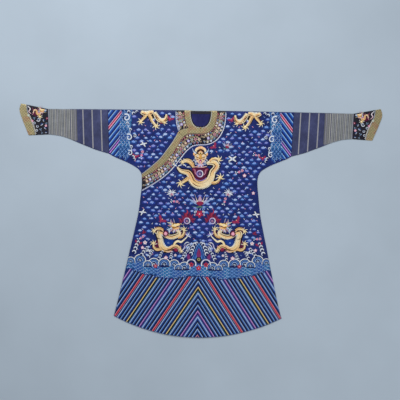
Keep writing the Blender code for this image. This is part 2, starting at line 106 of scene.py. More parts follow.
# The lapel: x and depth of its outer edge, of the binding's seam and of the band's seam
LAPEL = (
    ((-0.000, 0.098), (-0.000, 0.138), (-0.000, 0.207)),
    ((-0.045, 0.102), (-0.042, 0.138), (-0.023, 0.209)),
    ((-0.088, 0.110), (-0.078, 0.142), (-0.050, 0.218)),
    ((-0.128, 0.124), (-0.106, 0.162), (-0.084, 0.247)),
    ((-0.150, 0.160), (-0.132, 0.203), (-0.110, 0.279)),
    ((-0.175, 0.201), (-0.157, 0.243), (-0.132, 0.309)),
    ((-0.208, 0.247), (-0.184, 0.281), (-0.160, 0.345)),
    ((-0.241, 0.291), (-0.211, 0.316), (-0.204, 0.390)),
    ((-0.291, 0.338), (-0.260, 0.356), (-0.264, 0.436)),
    ((-0.350, 0.386), (-0.348, 0.409), (-0.347, 0.487)),
)

# The horseshoe cuff: share of the way down, x of the binding's seam, x of the edge
CUFF_EDGE = (
    (0.00, 1.050, 1.081), (0.18, 1.047, HALF_SPAN), (0.50, 1.022, 1.072), (0.78, 1.003, 1.050),
    (1.00, 0.993, 1.032),
)

# Where the slanted stripes of the hem begin: distance from the centre line, depth
STRIPES_TOP = (
    (0.0, 0.986), (0.060, 0.990), (0.120, 1.002), (0.173, 1.012), (0.255, 0.992), (0.338, 0.974),
    (0.421, 0.942), (0.510, 0.915),
)
STRIPE_ANGLE = math.radians(56.5)  # how the hem's stripes slope
STRIPE_PITCH = 0.1440  # between the points of two bright stripes on the centre line
SLEEVE_WAVES = (0.410, 0.474)  # from the centre line, on the shoulder line

# Silk and gilt thread, as sRGB
GOLD_LIGHT, GOLD, GOLD_DEEP, GOLD_SHADE = "#FFF1CA", "#FFDF9E", "#F2BC7E", "#B0703E"
WHITE, PALE_BLUE, SKY = "#EEF2F6", "#94B6E4", "#5488CC"
MID_BLUE, DEEP_BLUE, NAVY = "#2858AC", "#143888", "#0E1850"
TURQUOISE, TEAL, GREEN = "#3B8DBA", "#1F6C9A", "#55806E"
LILAC, PLUM, PINK = "#A58AD8", "#5A2F7E", "#EFA9BC"
RED, CRIMSON, MAROON = "#C83A4A", "#8E2448", "#571238"
CREAM, TAN, PEACH = "#F1E4C4", "#C9A766", "#F4BC88"
BLACK, OUTLINE = "#0E0E16", "#1E0A14"


def linear(code):
    """An sRGB hex colour as linear red, green and blue."""
    c = np.array([int(code[k : k + 2], 16) for k in (1, 3, 5)]) / 255
    return np.where(c <= 0.04045, c / 12.92, ((c + 0.055) / 1.055) ** 2.4)


def smooth_step(share):
    """3t^2 - 2t^3, held at 0 and 1 outside."""
    t = np.clip(share, 0.0, 1.0)
    return t * t * (3 - 2 * t)


def through(table, at, column=1):
    """A monotone cubic through a table's rows: Hermite's form, with harmonic means of slopes as tangents."""
    rows = np.array(table, float)
    x, y = rows[:, 0], rows[:, column]
    h = np.diff(x)
    slope = np.diff(y) / h
    total = slope[:-1] + slope[1:]
    inner = np.where(
        slope[:-1] * slope[1:] > 0, 2 * slope[:-1] * slope[1:] / np.where(total == 0, 1, total), 0
    )
    tangent = np.concatenate([slope[:1], inner, slope[-1:]])
    at = np.clip(np.asarray(at, float), x[0], x[-1])
    k = np.clip(np.searchsorted(x, at) - 1, 0, len(h) - 1)
    t = (at - x[k]) / h[k]
    return (
        (2 * t**3 - 3 * t**2 + 1) * y[k]
        + (t**3 - 2 * t**2 + t) * h[k] * tangent[k]
        + (-2 * t**3 + 3 * t**2) * y[k + 1]
        + (t**3 - t**2) * h[k] * tangent[k + 1]
    )


def catmull(points, steps, closed=False):
    """A Catmull-Rom curve through the rows of an array, sampled at steps places along it. At the ends of an
    open curve, the missing neighbour is the point that lies straight on."""
    p = np.asarray(points, float)
    if closed:
        p = np.concatenate([p[-1:], p, p[:2]])
    else:
        p = np.concatenate([2 * p[:1] - p[1:2], p, 2 * p[-1:] - p[-2:-1]])
    spans = len(p) - 3
    at = np.linspace(0, spans, steps + closed)[:steps]
    k = np.minimum(at.astype(int), spans - 1)
    t = (at - k).reshape(-1, *([1] * (p.ndim - 1)))
    p0, p1, p2, p3 = (p[k + n] for n in range(4))
    return 0.5 * (
        2 * p1 + (p2 - p0) * t + (2 * p0 - 5 * p1 + 4 * p2 - p3) * t**2 + (3 * p1 - p0 - 3 * p2 + p3) * t**3
    )


def sideways(ahead):
    """Unit vectors at a right angle to the ways given."""
    normal = np.stack([-ahead[:, 1], ahead[:, 0]], -1)
    return normal / np.maximum(np.linalg.norm(normal, axis=1), 1e-9)[:, None]


def run_length(line):
    """How far along a line of points each of them lies."""
    return np.concatenate([[0], np.cumsum(np.linalg.norm(np.diff(line, axis=0), axis=1))])


def spread(values, share):
    """A row of values set out evenly along a line, read at shares of its length."""
    return np.interp(share, np.linspace(0, 1, len(values)), values)


def split(grid):
    """The x and the depth of a grid of points."""
    return grid[..., 0], grid[..., 1]


def between(first, second, columns):
    """A grid of points in even columns from one line to another."""
    share = np.linspace(0, 1, columns + 1)[None, :, None]
    return first[:, None] + (second - first)[:, None] * share


def grid_faces(ids):
    """The faces of four between the numbers of a grid of points."""
    return np.stack([ids[:-1, :-1], ids[:-1, 1:], ids[1:, 1:], ids[1:, :-1]], -1).reshape(-1, 4)


def side_half_width(depth):
    """Half width of the body: the straight sleeve seam, then the sleeve's underside and the side seam."""
    depth = np.asarray(depth, float)
    return np.where(
        depth < BODY_OUTLINE[0][0], SLEEVE_SEAM - SEAM_TILT * depth, through(BODY_OUTLINE, depth)
    )


def hem_depth(x):
    """Depth of the hem: a circle's arc through the hem's corners and centre."""
    drop = ROBE_LENGTH - HEM_CORNER_DEPTH
    radius = (HEM_HALF_WIDTH**2 + drop**2) / (2 * drop)
    return ROBE_LENGTH - radius + np.sqrt(radius**2 - np.minimum(np.abs(x), HEM_HALF_WIDTH) ** 2)


def droop(x, depth):
    """How much lower the shoulder line runs towards the cuff: a parabola in x, fading down the body."""
    return SLEEVE_DROOP * (np.abs(x) / CUFF_SEAM) ** 2 * (1 - smooth_step(depth / 0.3))


def fullness(x, depth):
    """Height of the air under the front: sines of the angle of a fan that spreads towards the hem."""
    inside = smooth_step(depth / 0.14) * smooth_step((side_half_width(depth) - np.abs(x)) / 0.13)
    fan = np.abs(x) / (0.30 + 0.32 * depth)
    long_folds = 0.34 * np.sin(9.5 * fan + 0.8 * x / (np.abs(x) + 0.06))
    short_folds = 0.16 * np.sin(21.0 * fan + 2.0 * depth + 0.6)
    return FULLNESS * inside * (0.5 + long_folds + short_folds)


# Creases pressed or pulled into the cloth: x and depth of each end, width and height in millimetres. The
# height is negative for a trough.
CREASES = (
    (-0.335, 0.372, -0.245, 0.505, 26, 2.2), (-0.372, 0.352, -0.262, 0.330, 20, 1.6),
    (-0.440, 0.300, -0.330, 0.205, 24, 1.8), (-0.395, 0.330, -0.235, 0.130, 22, -1.2),
    (0.338, 0.378, 0.262, 0.522, 24, 2.2), (0.352, 0.362, 0.205, 0.420, 18, 1.6),
    (0.385, 0.335, 0.240, 0.225, 24, 1.7), (0.452, 0.296, 0.372, 0.128, 26, 1.6),
    (0.420, 0.310, 0.300, 0.290, 16, -1.2), (-0.300, 0.700, -0.352, 1.215, 30, 2.0),
    (-0.152, 0.860, -0.196, 1.330, 34, 1.7), (-0.236, 0.905, -0.262, 1.290, 18, -1.3),
    (0.118, 0.800, 0.158, 1.335, 30, 1.8), (0.262, 0.660, 0.352, 1.240, 34, 2.1),
    (0.312, 0.905, 0.362, 1.262, 16, -1.2), (0.030, 1.010, 0.048, 1.352, 22, 1.2),
    (-0.060, 0.640, -0.048, 0.905, 20, 1.0), (0.150, 0.430, 0.170, 0.640, 22, 0.9),
    (-0.190, 0.560, -0.214, 0.760, 20, 0.9),
)
CREASE_BEND = 6 * MM  # how far each line swings to its sides
CREASE_FADE = 0.3  # share of its length over which it rises


def creases(x, depth):
    """Soft ridges and troughs: a bell curve across each line, which bends as a sine and fades to its ends."""
    x, depth = np.asarray(x, float), np.asarray(depth, float)
    total = np.zeros(np.broadcast(x, depth).shape)
    for x0, d0, x1, d1, width, height in CREASES:
        length = math.hypot(x1 - x0, d1 - d0)
        ux, ud = (x1 - x0) / length, (d1 - d0) / length
        along = (x - x0) * ux + (depth - d0) * ud
        across = (x - x0) * ud - (depth - d0) * ux + CREASE_BEND * np.sin(7 * along / length)
        reach = CREASE_FADE * length
        fade = smooth_step(along / reach + 0.2) * smooth_step((length - along) / reach + 0.2)
        total += height * MM * fade * np.exp(-((across / (width * MM)) ** 2) * 2)
    edge = smooth_step((side_half_width(depth) - np.abs(x)) / 0.03)
    return total * edge * smooth_step(depth / 0.05)


def above_lapel(x, depth):
    """How far a point lies above the lapel's outer edge, in metres of depth."""
    edge = sorted((-outer[0], outer[1]) for outer, _, _ in LAPEL)
    return np.interp(-np.asarray(x), [p[0] for p in edge], [p[1] for p in edge]) - depth


def front_height(x, depth):
    """Height of the front's upper face. The left half climbs to the outer front's height near the centre. The
    right half is the inner front, flat where the outer front covers it."""
    x, depth = np.asarray(x, float), np.asarray(depth, float)
    rise = LAP_STEP * (1 - smooth_step(x / LAP_SLOPE)) * smooth_step(depth / 0.07)
    swell = fullness(x, depth) + creases(x, depth)
    right = FRONT_TOP + swell * smooth_step((above_lapel(x, depth) - 0.01) / 0.08)
    return np.where(x >= 0, FRONT_TOP + rise + swell, right)


def outer_height(x, depth):
    """Height of the outer front's upper face, over the inner front."""
    return FRONT_TOP + LAP_STEP + fullness(x, depth) + np.maximum(creases(x, depth), -0.2 * MM)


def sleeve_underside(x):
    """Depth of the sleeve's underside at a distance from the centre line."""
    return through(SLEEVE_UNDERSIDE, x)


def sleeve_height(x, depth):
    """Height of the sleeves beyond the body: a half sine between the fold and the underside, with creases
    pulled along the sleeve as slanted sine waves."""
    across = np.clip(depth / np.maximum(sleeve_underside(np.abs(x)), 0.05), 0, 1)
    along = np.clip((np.abs(x) - SLEEVE_SEAM) / (CUFF_SEAM - SLEEVE_SEAM), 0, 1)
    swell = np.sin(np.pi * across) * np.sin(np.pi * np.minimum(along * 1.4, 1))
    ripple = 0.5 + 0.5 * np.sin(15.2 * across + 26 * along + np.sign(x))
    return FRONT_TOP + swell * (1.3 + 0.7 * ripple) * MM


def visible_height(x, depth):
    """Height of what shows from above at each point of the robe."""
    x, depth = np.asarray(x, float), np.asarray(depth, float)
    on_lap = (x < 0) & (above_lapel(x, depth) < 0)
    body = np.where(on_lap, outer_height(x, depth), front_height(x, depth))
    return np.where(np.abs(x) > SLEEVE_SEAM - SEAM_TILT * depth, sleeve_height(x, depth), body)


def placed(x, depth, z):
    """Points from arrays of x, depth and height."""
    x, depth, z = np.broadcast_arrays(x, depth, z)
    return np.stack([x, SHOULDER_Y - depth, z], -1)


def new_object(name, points, faces, finish, smooth=True):
    """A mesh object from arrays, riding on the robe's body."""
    mesh = bpy.data.meshes.new(name)
    mesh.from_pydata(np.asarray(points, float).tolist(), [], faces)
    mesh.validate()
    mesh.polygons.foreach_set("use_smooth", np.full(len(mesh.polygons), smooth))
    mesh.materials.append(finish)
    made = bpy.data.objects.new(name, mesh)
    bpy.context.scene.collection.objects.link(made)
    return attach(made, BODY)


class Shell:
    """Gathers grids of points and the faces between them into one closed wall of cloth."""

    def __init__(self):
        self.points, self.faces, self.count = [], [], 0

    def add(self, grid):
        grid = np.asarray(grid, float)
        ids = np.arange(self.count, self.count + grid[..., 0].size).reshape(grid.shape[:-1])
        self.points.append(grid.reshape(-1, 3))
        self.count += ids.size
        return ids

    def skin(self, ids):
        self.faces += grid_faces(ids).tolist()

    def strip(self, *lines):
        self.skin(np.stack(lines))

    def make(self, name, finish):
        made = new_object(name, np.concatenate(self.points), self.faces, finish)
        work = bmesh.new()
        work.from_mesh(made.data)
        bmesh.ops.recalc_face_normals(work, faces=work.faces)
        work.to_mesh(made.data)
        work.free()
        made.data.set_sharp_from_angle(angle=math.radians(50))
        return made


def cloth(made, nodes):
    """Hides the solids that the piece stands in for, and returns the piece. Says what the piece stands for
    and the size of its cut: the mean run from its first row to its last, and the mean run across with its
    layers side by side, both grown by one share to reach the area.
    """
    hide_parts(*nodes)
    return made


def outward(line, inside):
    """Unit normals along an outline, pointing away from a point inside it."""
    normal = sideways(np.gradient(line, axis=0))
    away = ((line - inside) * normal).sum(1)
    return normal * np.where(away < 0, -1, 1)[:, None]


BACK_LIFT = 0.35 * MM  # the back's cloth stands this far off the floor on its own stitches
ROUND = np.radians([60, 90, 120])  # where a fold's semicircle is sampled, from its top


def neighbours(edge, shape):
    """The pairs of neighbouring grid places along a slice."""
    places = np.stack(np.meshgrid(*[np.arange(n) for n in shape], indexing="ij"), -1)[edge]
    along = [tuple(p) for p in places.tolist()]
    return list(zip(along, along[1:]))


def tube(name, finish, front, back, height, closed):
    """A flat tube of cloth: a front wall over a back wall. Along a closed edge the walls join in a semicircle
    outside and face to face inside; along an open edge each wall's own cut shows."""
    grids = [front.copy(), front.copy(), back.copy(), back.copy()]
    bends = []
    for edge, inside in closed:
        out = outward(front[edge], np.array(inside))
        bends.append((edge, front[edge].copy(), out))
        for grid, reach in zip(grids, (1, 2, 2, 1)):
            grid[edge] -= out * FOLD_ROUND * reach
    top = height(*split(front))
    levels = (top, top - WALL, np.full(top.shape, WALL), np.full(top.shape, BACK_LIFT))
    shell = Shell()
    skins = [shell.add(placed(*split(g), z)) for g, z in zip(grids, levels)]
    for ids in skins:
        shell.skin(ids)
    of, jf, jb, ob = skins
    for edge, line, out in bends:
        middle, half = (top[edge] + BACK_LIFT) / 2, (top[edge] - BACK_LIFT) / 2
        arcs = []
        for turn in ROUND:
            at = line - out * FOLD_ROUND * (1 - math.sin(turn))
            arcs.append(shell.add(placed(*split(at), middle + half * math.cos(turn))))
        shell.strip(of[edge], *arcs, ob[edge])
        shell.strip(jf[edge], jb[edge])
        for end in (0, -1):
            ring = [int(k[edge][end]) for k in skins] + [int(a[end]) for a in arcs[::-1]]
            shell.faces.append(ring)
    rows, columns = of.shape
    rim = [(0, c) for c in range(columns)] + [(r, columns - 1) for r in range(1, rows)]
    rim += [(rows - 1, c) for c in range(columns - 2, -1, -1)] + [(r, 0) for r in range(rows - 2, -1, -1)]
    in_fold = {frozenset(pair) for edge, _ in closed for pair in neighbours(edge, of.shape)}
    for a, b in zip(rim, rim[1:]):
        if frozenset((a, b)) not in in_fold:
            shell.strip(np.array([of[a], of[b]]), np.array([jf[a], jf[b]]))
            shell.strip(np.array([ob[a], ob[b]]), np.array([jb[a], jb[b]]))
    return shell.make(name, finish)


def slab(name, finish, upper, under):
    """A single wall between two grids, closed round its edge."""
    shell = Shell()
    u, v = shell.add(upper), shell.add(under)
    shell.skin(u)
    shell.skin(v)
    for edge in (np.s_[0, :], np.s_[-1, :], np.s_[:, 0], np.s_[:, -1]):
        shell.strip(u[edge], v[edge])
    return shell.make(name, finish)


# Rows of the body's cloth beside the collar, down the sleeve's seam and down the side, and its columns
RING_ROWS, SEAM_ROWS, BODY_ROWS = 34, 8, 128
BODY_COLUMNS = 60
RING_FOOT = 0.215  # depth at the side of the last row beside the collar
TURNS = np.radians(np.linspace(0, 90, RING_ROWS))


def ring_point(ring, turn, behind, grow=0.0):
    """A superellipse round the neck: x = a cos^(2/n) t, depth = b sin^(2/n) t."""
    half, front_deep, back_deep = NECK_RINGS[ring]
    deep = back_deep if behind else front_deep
    x = (half + grow) * np.maximum(np.cos(turn), 0.0) ** (2 / NECK_POWER)
    return np.stack([x, (deep + grow) * np.sin(turn) ** (2 / NECK_POWER)], -1)


def body_grid(behind, side):
    """x and depth over half of the front or back, blended from the neck's ring and the centre line on one
    side to the outline on the other, with the last rows bent to the hem's arc."""
    ring = ring_point("collar", TURNS, behind, SEAM / 2)
    ring[-1, 0] = SEAM / 2
    seam_end = BODY_OUTLINE[0][0]
    depths = np.concatenate(
        [
            np.linspace(0, RING_FOOT, RING_ROWS),
            np.linspace(RING_FOOT, seam_end, SEAM_ROWS + 1)[1:],
            np.linspace(seam_end, HEM_CORNER_DEPTH, BODY_ROWS + 1)[1:],
        ]
    )
    centre = np.linspace(ring[-1, 1], ROBE_LENGTH, len(depths) - RING_ROWS + 1)[1:]
    inner = np.concatenate([ring, np.stack([np.full(len(centre), SEAM / 2), centre], -1)])
    outer = np.stack([side_half_width(depths), depths], -1)
    outer[depths <= seam_end, 0] -= SEAM / 2
    grid = between(inner, outer, BODY_COLUMNS)
    bend = np.linspace(0, 1, len(inner))[:, None] ** 6
    chord = np.linspace(ROBE_LENGTH, HEM_CORNER_DEPTH, BODY_COLUMNS + 1)
    grid[..., 1] += bend * (hem_depth(grid[..., 0]) - chord)
    grid[..., 1] += droop(*split(grid))
    return grid * (side, 1)


def body_half(side, label, finish):
    front, back = body_grid(False, side), body_grid(True, side)
    seam_row = RING_ROWS + SEAM_ROWS - 1
    inside = (0.25 * side, 0.30)
    back[0], back[seam_row:, -1] = front[0], front[seam_row:, -1]
    closed = [(np.s_[0, :], inside), (np.s_[seam_row:, -1], inside)]
    made = tube(f"body_{label}_cloth", finish, front, back, front_height, closed)
    return cloth(made, [f"body_{label}"])


def ring_strip(kind, inner, outer, side, label, finish):
    """A band between two rings, from the centre front over the shoulder fold to the centre back."""

    def half(behind):
        a, b = ring_point(inner, TURNS, behind, SEAM / 2), ring_point(outer, TURNS, behind, -SEAM / 2)
        a[-1, 0] = b[-1, 0] = SEAM / 2
        grid = between(a, b, 6)
        grid[..., 1] += droop(*split(grid))
        return grid * (side, 1)

    front, back = half(False), half(True)
    upper = [placed(*split(front[:0:-1]), front_height(*split(front[:0:-1])))]
    under = [upper[0] - (0, 0, WALL)]
    fold = front[:1]
    middle, half_high = (FRONT_TOP + BACK_LIFT) / 2, (FRONT_TOP - BACK_LIFT) / 2
    for turn in np.radians([0, 45, 90, 135, 180]):
        reach = FOLD_ROUND * (1 - math.sin(turn))
        upper.append(placed(*split(fold + (0, reach)), middle + half_high * math.cos(turn)))
        inner_high = (FRONT_TOP / 2) + (FRONT_TOP / 2 - WALL * 0.98) * math.cos(turn)
        under.append(placed(*split(fold + (0, 2 * FOLD_ROUND)), inner_high))
    upper.append(placed(*split(back[1:]), BACK_LIFT))
    under.append(placed(*split(back[1:]), WALL))
    made = slab(f"{kind}_{label}_cloth", finish, np.concatenate(upper), np.concatenate(under))
    return cloth(made, [f"{kind}_{label}"])


def lapel_lines():
    """The lapel's three lines as Catmull-Rom curves: lines, points (five for each row), and x with depth."""
    lines = catmull(LAPEL, 5 * (len(LAPEL) - 1) + 1).transpose(1, 0, 2)
    lines[:, 0, 0] = 0.0
    return lines


def seam_side(line, way):
    """A lapel line moved half a seam towards the front (1) or the neck (-1)."""
    points = lapel_lines()[line]
    return points - sideways(np.gradient(points, axis=0)) * way * SEAM / 2


def lapel_strip(kind, first, second, columns, finish):
    a, b = seam_side(first, 1), seam_side(second, -1)
    grid = between(a, b, columns)
    grid[0, :, 0] = -SEAM / 2
    upper = placed(*split(grid), outer_height(*split(grid)))
    made = slab(f"{kind}_cloth", finish, upper, upper - (0, 0, WALL))
    return cloth(made, [kind])


def outer_front(finish):
    """From the lapel band's seam to the hem, and from the centre seam to the side: rows blend from the seam's
    own spacing to an even one, and their ends follow the side's outline."""
    top = seam_side(2, 1)
    down = np.linspace(0, 1, 140)[:, None] ** 0.9
    side_depth = top[-1, 1] + (HEM_CORNER_DEPTH - top[-1, 1]) * down
    at_top = top[:, 0] / top[-1, 0]
    at_hem = np.linspace(0, 1, len(top))
    share = at_top + (at_hem - at_top) * smooth_step(down * 1.4)
    x = -share * side_half_width(side_depth)
    x += (top[:, 0] - x[:1]) * (1 - smooth_step(down * 4))
    x[:, 0] = -SEAM / 2
    depth = top[:, 1] + (hem_depth(at_hem * HEM_HALF_WIDTH) - top[:, 1]) * down
    depth[:, -1] = side_depth[:, 0]
    upper = placed(x, depth, outer_height(x, depth))
    made = slab("outer_front_cloth", finish, upper, upper - (0, 0, WALL))
    return cloth(made, ["outer_front"])


def neck_inside(lining, facing):
    """The lining and the dark strip along its top edge, inside the neck opening."""
    ring = ring_point("opening", TURNS, False, -2 * SEAM)
    top = NECK_RINGS["opening"][2]
    rows = np.stack([ring[:, 0], np.maximum(ring[:, 1], top)], -1)[1:-1]
    share = np.linspace(-1, 1, 25)
    x, depth = rows[:, :1] * share, np.repeat(rows[:, 1:], len(share), axis=1)
    low = WALL + SEAM
    soft = 0.25 * MM * np.sin(9 * share) * np.sin(np.pi * np.linspace(0, 1, len(rows)))[:, None]
    made = slab("neck_lining_cloth", lining, placed(x, depth, low + 1.0 * MM + soft), placed(x, depth, low))
    cloth(made, ["neck_lining"])
    down = np.linspace(top + 0.5 * MM, top + 0.018, 8)
    half = np.interp(down, ring[:, 1], ring[:, 0]) - 1.0 * MM
    x, depth = half[:, None] * share, np.repeat(down[:, None], len(share), axis=1)
    low += 1.0 * MM + SEAM
    made = slab("neck_facing_cloth", facing, placed(x, depth, low + 0.8 * MM), placed(x, depth, low))
    cloth(made, ["neck_facing"])


FOOT_ROUNDS = 12


def sleeve_line(seam, rows):
    """Down one line across the sleeve, leaning towards the body. Its foot on the underside is found in a few
    rounds, each from the last one's depth."""
    foot = float(sleeve_underside(seam))
    for _ in range(FOOT_ROUNDS):
        foot = float(sleeve_underside(seam - SEAM_TILT * foot))
    high = SLEEVE_DROOP * (seam / CUFF_SEAM) ** 2
    depth = high + (foot - high) * rows
    return np.stack([seam - SEAM_TILT * depth, depth], -1)


def sleeve_tube(kind, label, side, grid, height, finish):
    grid = grid * (side, 1)
    middle = tuple(grid.reshape(-1, 2).mean(0))
    closed = [(np.s_[0, :], middle), (np.s_[-1, :], middle)]
    made = tube(f"{kind}_{label}_cloth", finish, grid, grid.copy(), height, closed)
    return cloth(made, [f"{kind}_{label}"])


def plain_sleeve(side, label, finish):
    seams = np.linspace(SLEEVE_SEAM + SEAM / 2, RIBBED_SEAM - SEAM / 2, 34)
    grid = np.stack([sleeve_line(s, np.linspace(0, 1, 30)) for s in seams], 1)
    return sleeve_tube("sleeve", label, side, grid, sleeve_height, finish)


def ribbed_sleeve(side, label, finish):
    """Ribs across the sleeve: a raised cosine along it, with one wave for each rib."""
    seams = np.linspace(RIBBED_SEAM + SEAM / 2, CUFF_SEAM - SEAM / 2, RIBS * 8 + 1)
    grid = np.stack([sleeve_line(s, np.linspace(0, 1, 20)) for s in seams], 1)
    share = np.linspace(0, RIBS, len(seams))

    def height(x, depth):
        return sleeve_height(x, depth) + 0.4 * MM * (1 - np.cos(2 * np.pi * share))

    return sleeve_tube("ribbed_sleeve", label, side, grid, height, finish)


def cuff_line(rows, column):
    """Down a line of the cuff: 0 is its seam to the sleeve, 1 the binding's seam, 2 its free edge."""
    seam = sleeve_line(CUFF_SEAM + SEAM / 2, rows)
    if column == 0:
        return seam
    x, edge_x = through(CUFF_EDGE, rows, column), through(CUFF_EDGE, rows, 2)
    reach = (x - seam[:, 0]) / (edge_x - seam[:, 0])
    edge_depth = -CUFF_RISE + (CUFF_LOWER_CORNER_DEPTH + CUFF_RISE) * rows
    return np.stack([x, seam[:, 1] + (edge_depth - seam[:, 1]) * reach], -1)


def cuff_height(x, depth):
    """The cuffs lie pressed flat, at one height."""
    return FRONT_TOP + 0.0 * x


def cuff_part(kind, side, label, first, second, columns, finish):
    rows = np.linspace(0, 1, 30)
    a = cuff_line(rows, first) + [SEAM / 2 if first else 0.0, 0.0]
    b = cuff_line(rows, second) - [SEAM / 2 if second == 1 else 0.0, 0.0]
    grid = between(a, b, columns)
    return sleeve_tube(kind, label, side, grid, cuff_height, finish)


# Embroidery. Heights and sizes are in millimetres.
STITCH_REST = 0.12
PAINTED_EDGE_SHADE = 0.66  # painted shade: how much darker a strip's edges are than its crown


def dyes_along(dye, steps):
    """Colours from one dye or a list of them, blended evenly along."""
    stops = np.array([linear(code) for code in ([dye] if isinstance(dye, str) else dye)])
    at = np.linspace(0, len(stops) - 1, steps)
    return np.stack([np.interp(at, np.arange(len(stops)), channel) for channel in stops.T], -1)


class Motif:
    """A piece of embroidery as arrays: points (x, down and height above the cloth), faces of four and of
    three points, each point's dye with its painted shade and highlight, and its place along and across its
    stitches."""

    def __init__(self, *parts):
        self.parts = list(parts)

    def __add__(self, other):
        return Motif(*self.parts, *other.parts)

    def joined(self):
        starts = np.cumsum([0] + [len(part[0]) for part in self.parts[:-1]])
        points, quads, tris, dyes, stitch = zip(*self.parts)
        quads = np.concatenate([faces + start for faces, start in zip(quads, starts)])
        tris = np.concatenate([faces + start for faces, start in zip(tris, starts)])
        return np.concatenate(points), quads, tris, np.concatenate(dyes), np.concatenate(stitch)

    def at(self, x, down, turn=0.0, size=1.0, way=1, lift=0.0):
        """The motif at a place, or at each of many: turned by degrees, scaled, mirrored by -1, lifted."""
        points, quads, tris, dyes, stitch = self.joined()
        places = np.broadcast_arrays(*np.atleast_1d(x, down, turn, size, way, lift))
        x, down, turn, size, way, lift = (place[:, None] for place in places)
        turn, count = np.radians(turn), len(x)
        px, pd = points[:, 0] * way * size, points[:, 1] * size
        at = [x + px * np.cos(turn) - pd * np.sin(turn), down + px * np.sin(turn) + pd * np.cos(turn)]
        at = np.stack([*at, points[:, 2] + lift], -1).reshape(-1, 3)
        step = np.arange(count)[:, None, None] * len(points)
        quads, tris = (quads + step).reshape(-1, 4), (tris + step).reshape(-1, 3)
        return Motif((at, quads, tris, np.tile(dyes, (count, 1)), np.tile(stitch, (count, 1))))

    def both(self):
        """The motif and its mirror image across the centre line."""
        return self + self.at(0, 0, way=-1)


def strip(path, width, dye, height=0.45, base=STITCH_REST, steps=20, closed=False, columns=3):
    """Satin stitch along a Catmull-Rom curve: a half ellipse across at each station, with painted shade
    darker to its edges. The width and the dye may be lists that run along it."""
    line = catmull(path, steps, closed)
    ahead = np.roll(line, -1, 0) - np.roll(line, 1, 0) if closed else np.gradient(line, axis=0)
    wide = spread(np.atleast_1d(width), np.linspace(0, 1, steps))[:, None]
    share = np.linspace(-1, 1, columns)
    across = share * wide / 2
    flat = line[:, None] + sideways(ahead)[:, None] * across[..., None]
    arch = np.sqrt(1 - share**2)
    ids = np.arange(steps * columns).reshape(steps, columns)
    ids = np.concatenate([ids, ids[:1]]) if closed else ids
    along = run_length(line)[:, None]
    stitch = np.stack(np.broadcast_arrays(along, across), -1).reshape(-1, 2) * MM
    # Painted shade: each column's dye is darkened towards the strip's edges
    shade = PAINTED_EDGE_SHADE + (1 - PAINTED_EDGE_SHADE) * arch
    dyes = (dyes_along(dye, steps)[:, None] * shade[:, None]).reshape(-1, 3)
    points = np.concatenate([flat, (base + height * arch + 0 * wide)[..., None]], -1).reshape(-1, 3)
    return Motif((points, grid_faces(ids), np.zeros((0, 3), int), dyes, stitch))


def patch(outline, dye, height=0.6, base=STITCH_REST, steps=20, rim=None, smooth=True):
    """A filled shape: its outline, then rings drawn in towards its middle, rising as a dome. The rim is its
    own rim dye, or else painted shade; the middle has a painted highlight.
    """
    if smooth:
        edge = catmull(outline, steps, True)
    else:
        corners = np.array([*outline, outline[0]], float)
        at = np.linspace(0, len(outline), steps, endpoint=False)
        edge = np.stack([np.interp(at, np.arange(len(corners)), axis) for axis in corners.T], -1)
    middle = edge.mean(0)
    rings = middle + (edge - middle) * np.array([1.0, 0.8, 0.42])[:, None, None]
    high = base + height * np.array([0.0, 0.65, 0.95])[:, None] + np.zeros(steps)
    points = np.concatenate([rings, high[..., None]], -1).reshape(-1, 3)
    points = np.concatenate([points, [[*middle, base + height]]])
    ids = np.arange(steps * 3).reshape(3, steps)
    quads = grid_faces(np.concatenate([ids, ids[:, :1]], 1))
    tris = np.stack([ids[2], np.roll(ids[2], -1), np.full(steps, steps * 3)], -1)
    # With no rim dye, the rim is painted shade at 0.55 of the dye; the inner rings and middle, at 1.06 and
    # 1.1, are a painted highlight on the dome
    plain = linear(dye)
    edge_dye = plain * 0.55 if rim is None else linear(rim)
    dyes = np.repeat([edge_dye, plain, plain * 1.06], steps, axis=0)
    dyes = np.concatenate([dyes, [plain * 1.1]])
    return Motif((points, quads, tris, dyes, points[:, :2] * MM))


def disc(x, down, radius, dye, height=0.5, base=STITCH_REST, steps=12, rim=None):
    turn = np.linspace(0, 2 * np.pi, steps, endpoint=False)
    outline = np.stack([x + radius * np.cos(turn), down + radius * np.sin(turn)], -1)
    return patch(outline, dye, height, base, steps, rim)


def curl(radius, width, dye, turns=1.25, start=0.0, way=1, base=STITCH_REST, steps=16, height=0.4):
    """A spiral whose radius falls evenly with its angle."""
    share = np.linspace(0, 1, 12)
    angle = np.radians(start) + way * 2 * np.pi * turns * share
    reach = radius * (1 - 0.82 * share)
    path = np.stack([reach * np.cos(angle), reach * np.sin(angle)], -1)
    return strip(path, [width, width, width * 0.6], dye, height, base, steps)


def arc_ring(radius, width, dye, start, end, base=STITCH_REST, steps=14, height=0.4):
    """Part of a circle, between two angles in degrees, where 270 is straight up."""
    angle = np.radians(np.linspace(start, end, 9))
    path = radius * np.stack([np.cos(angle), np.sin(angle)], -1)
    return strip(path, width, dye, height, base, steps)


def petals(count, reach, width, dye, base=STITCH_REST, first=0.0, heart=None, height=0.5):
    """Petals round a heart, each a pointed oval."""
    leaf = [(0, -0.18 * reach), (width / 2, -0.6 * reach), (0, -reach), (-width / 2, -0.6 * reach)]
    one = patch(leaf, dye, height, base, 10)
    number = np.arange(count)
    made = one.at(0, 0, first + number * 360 / count, lift=0.02 * (number % 2))
    return made + disc(0, 0, 0.24 * reach, heart, 0.3, base + height, 8) if heart else made


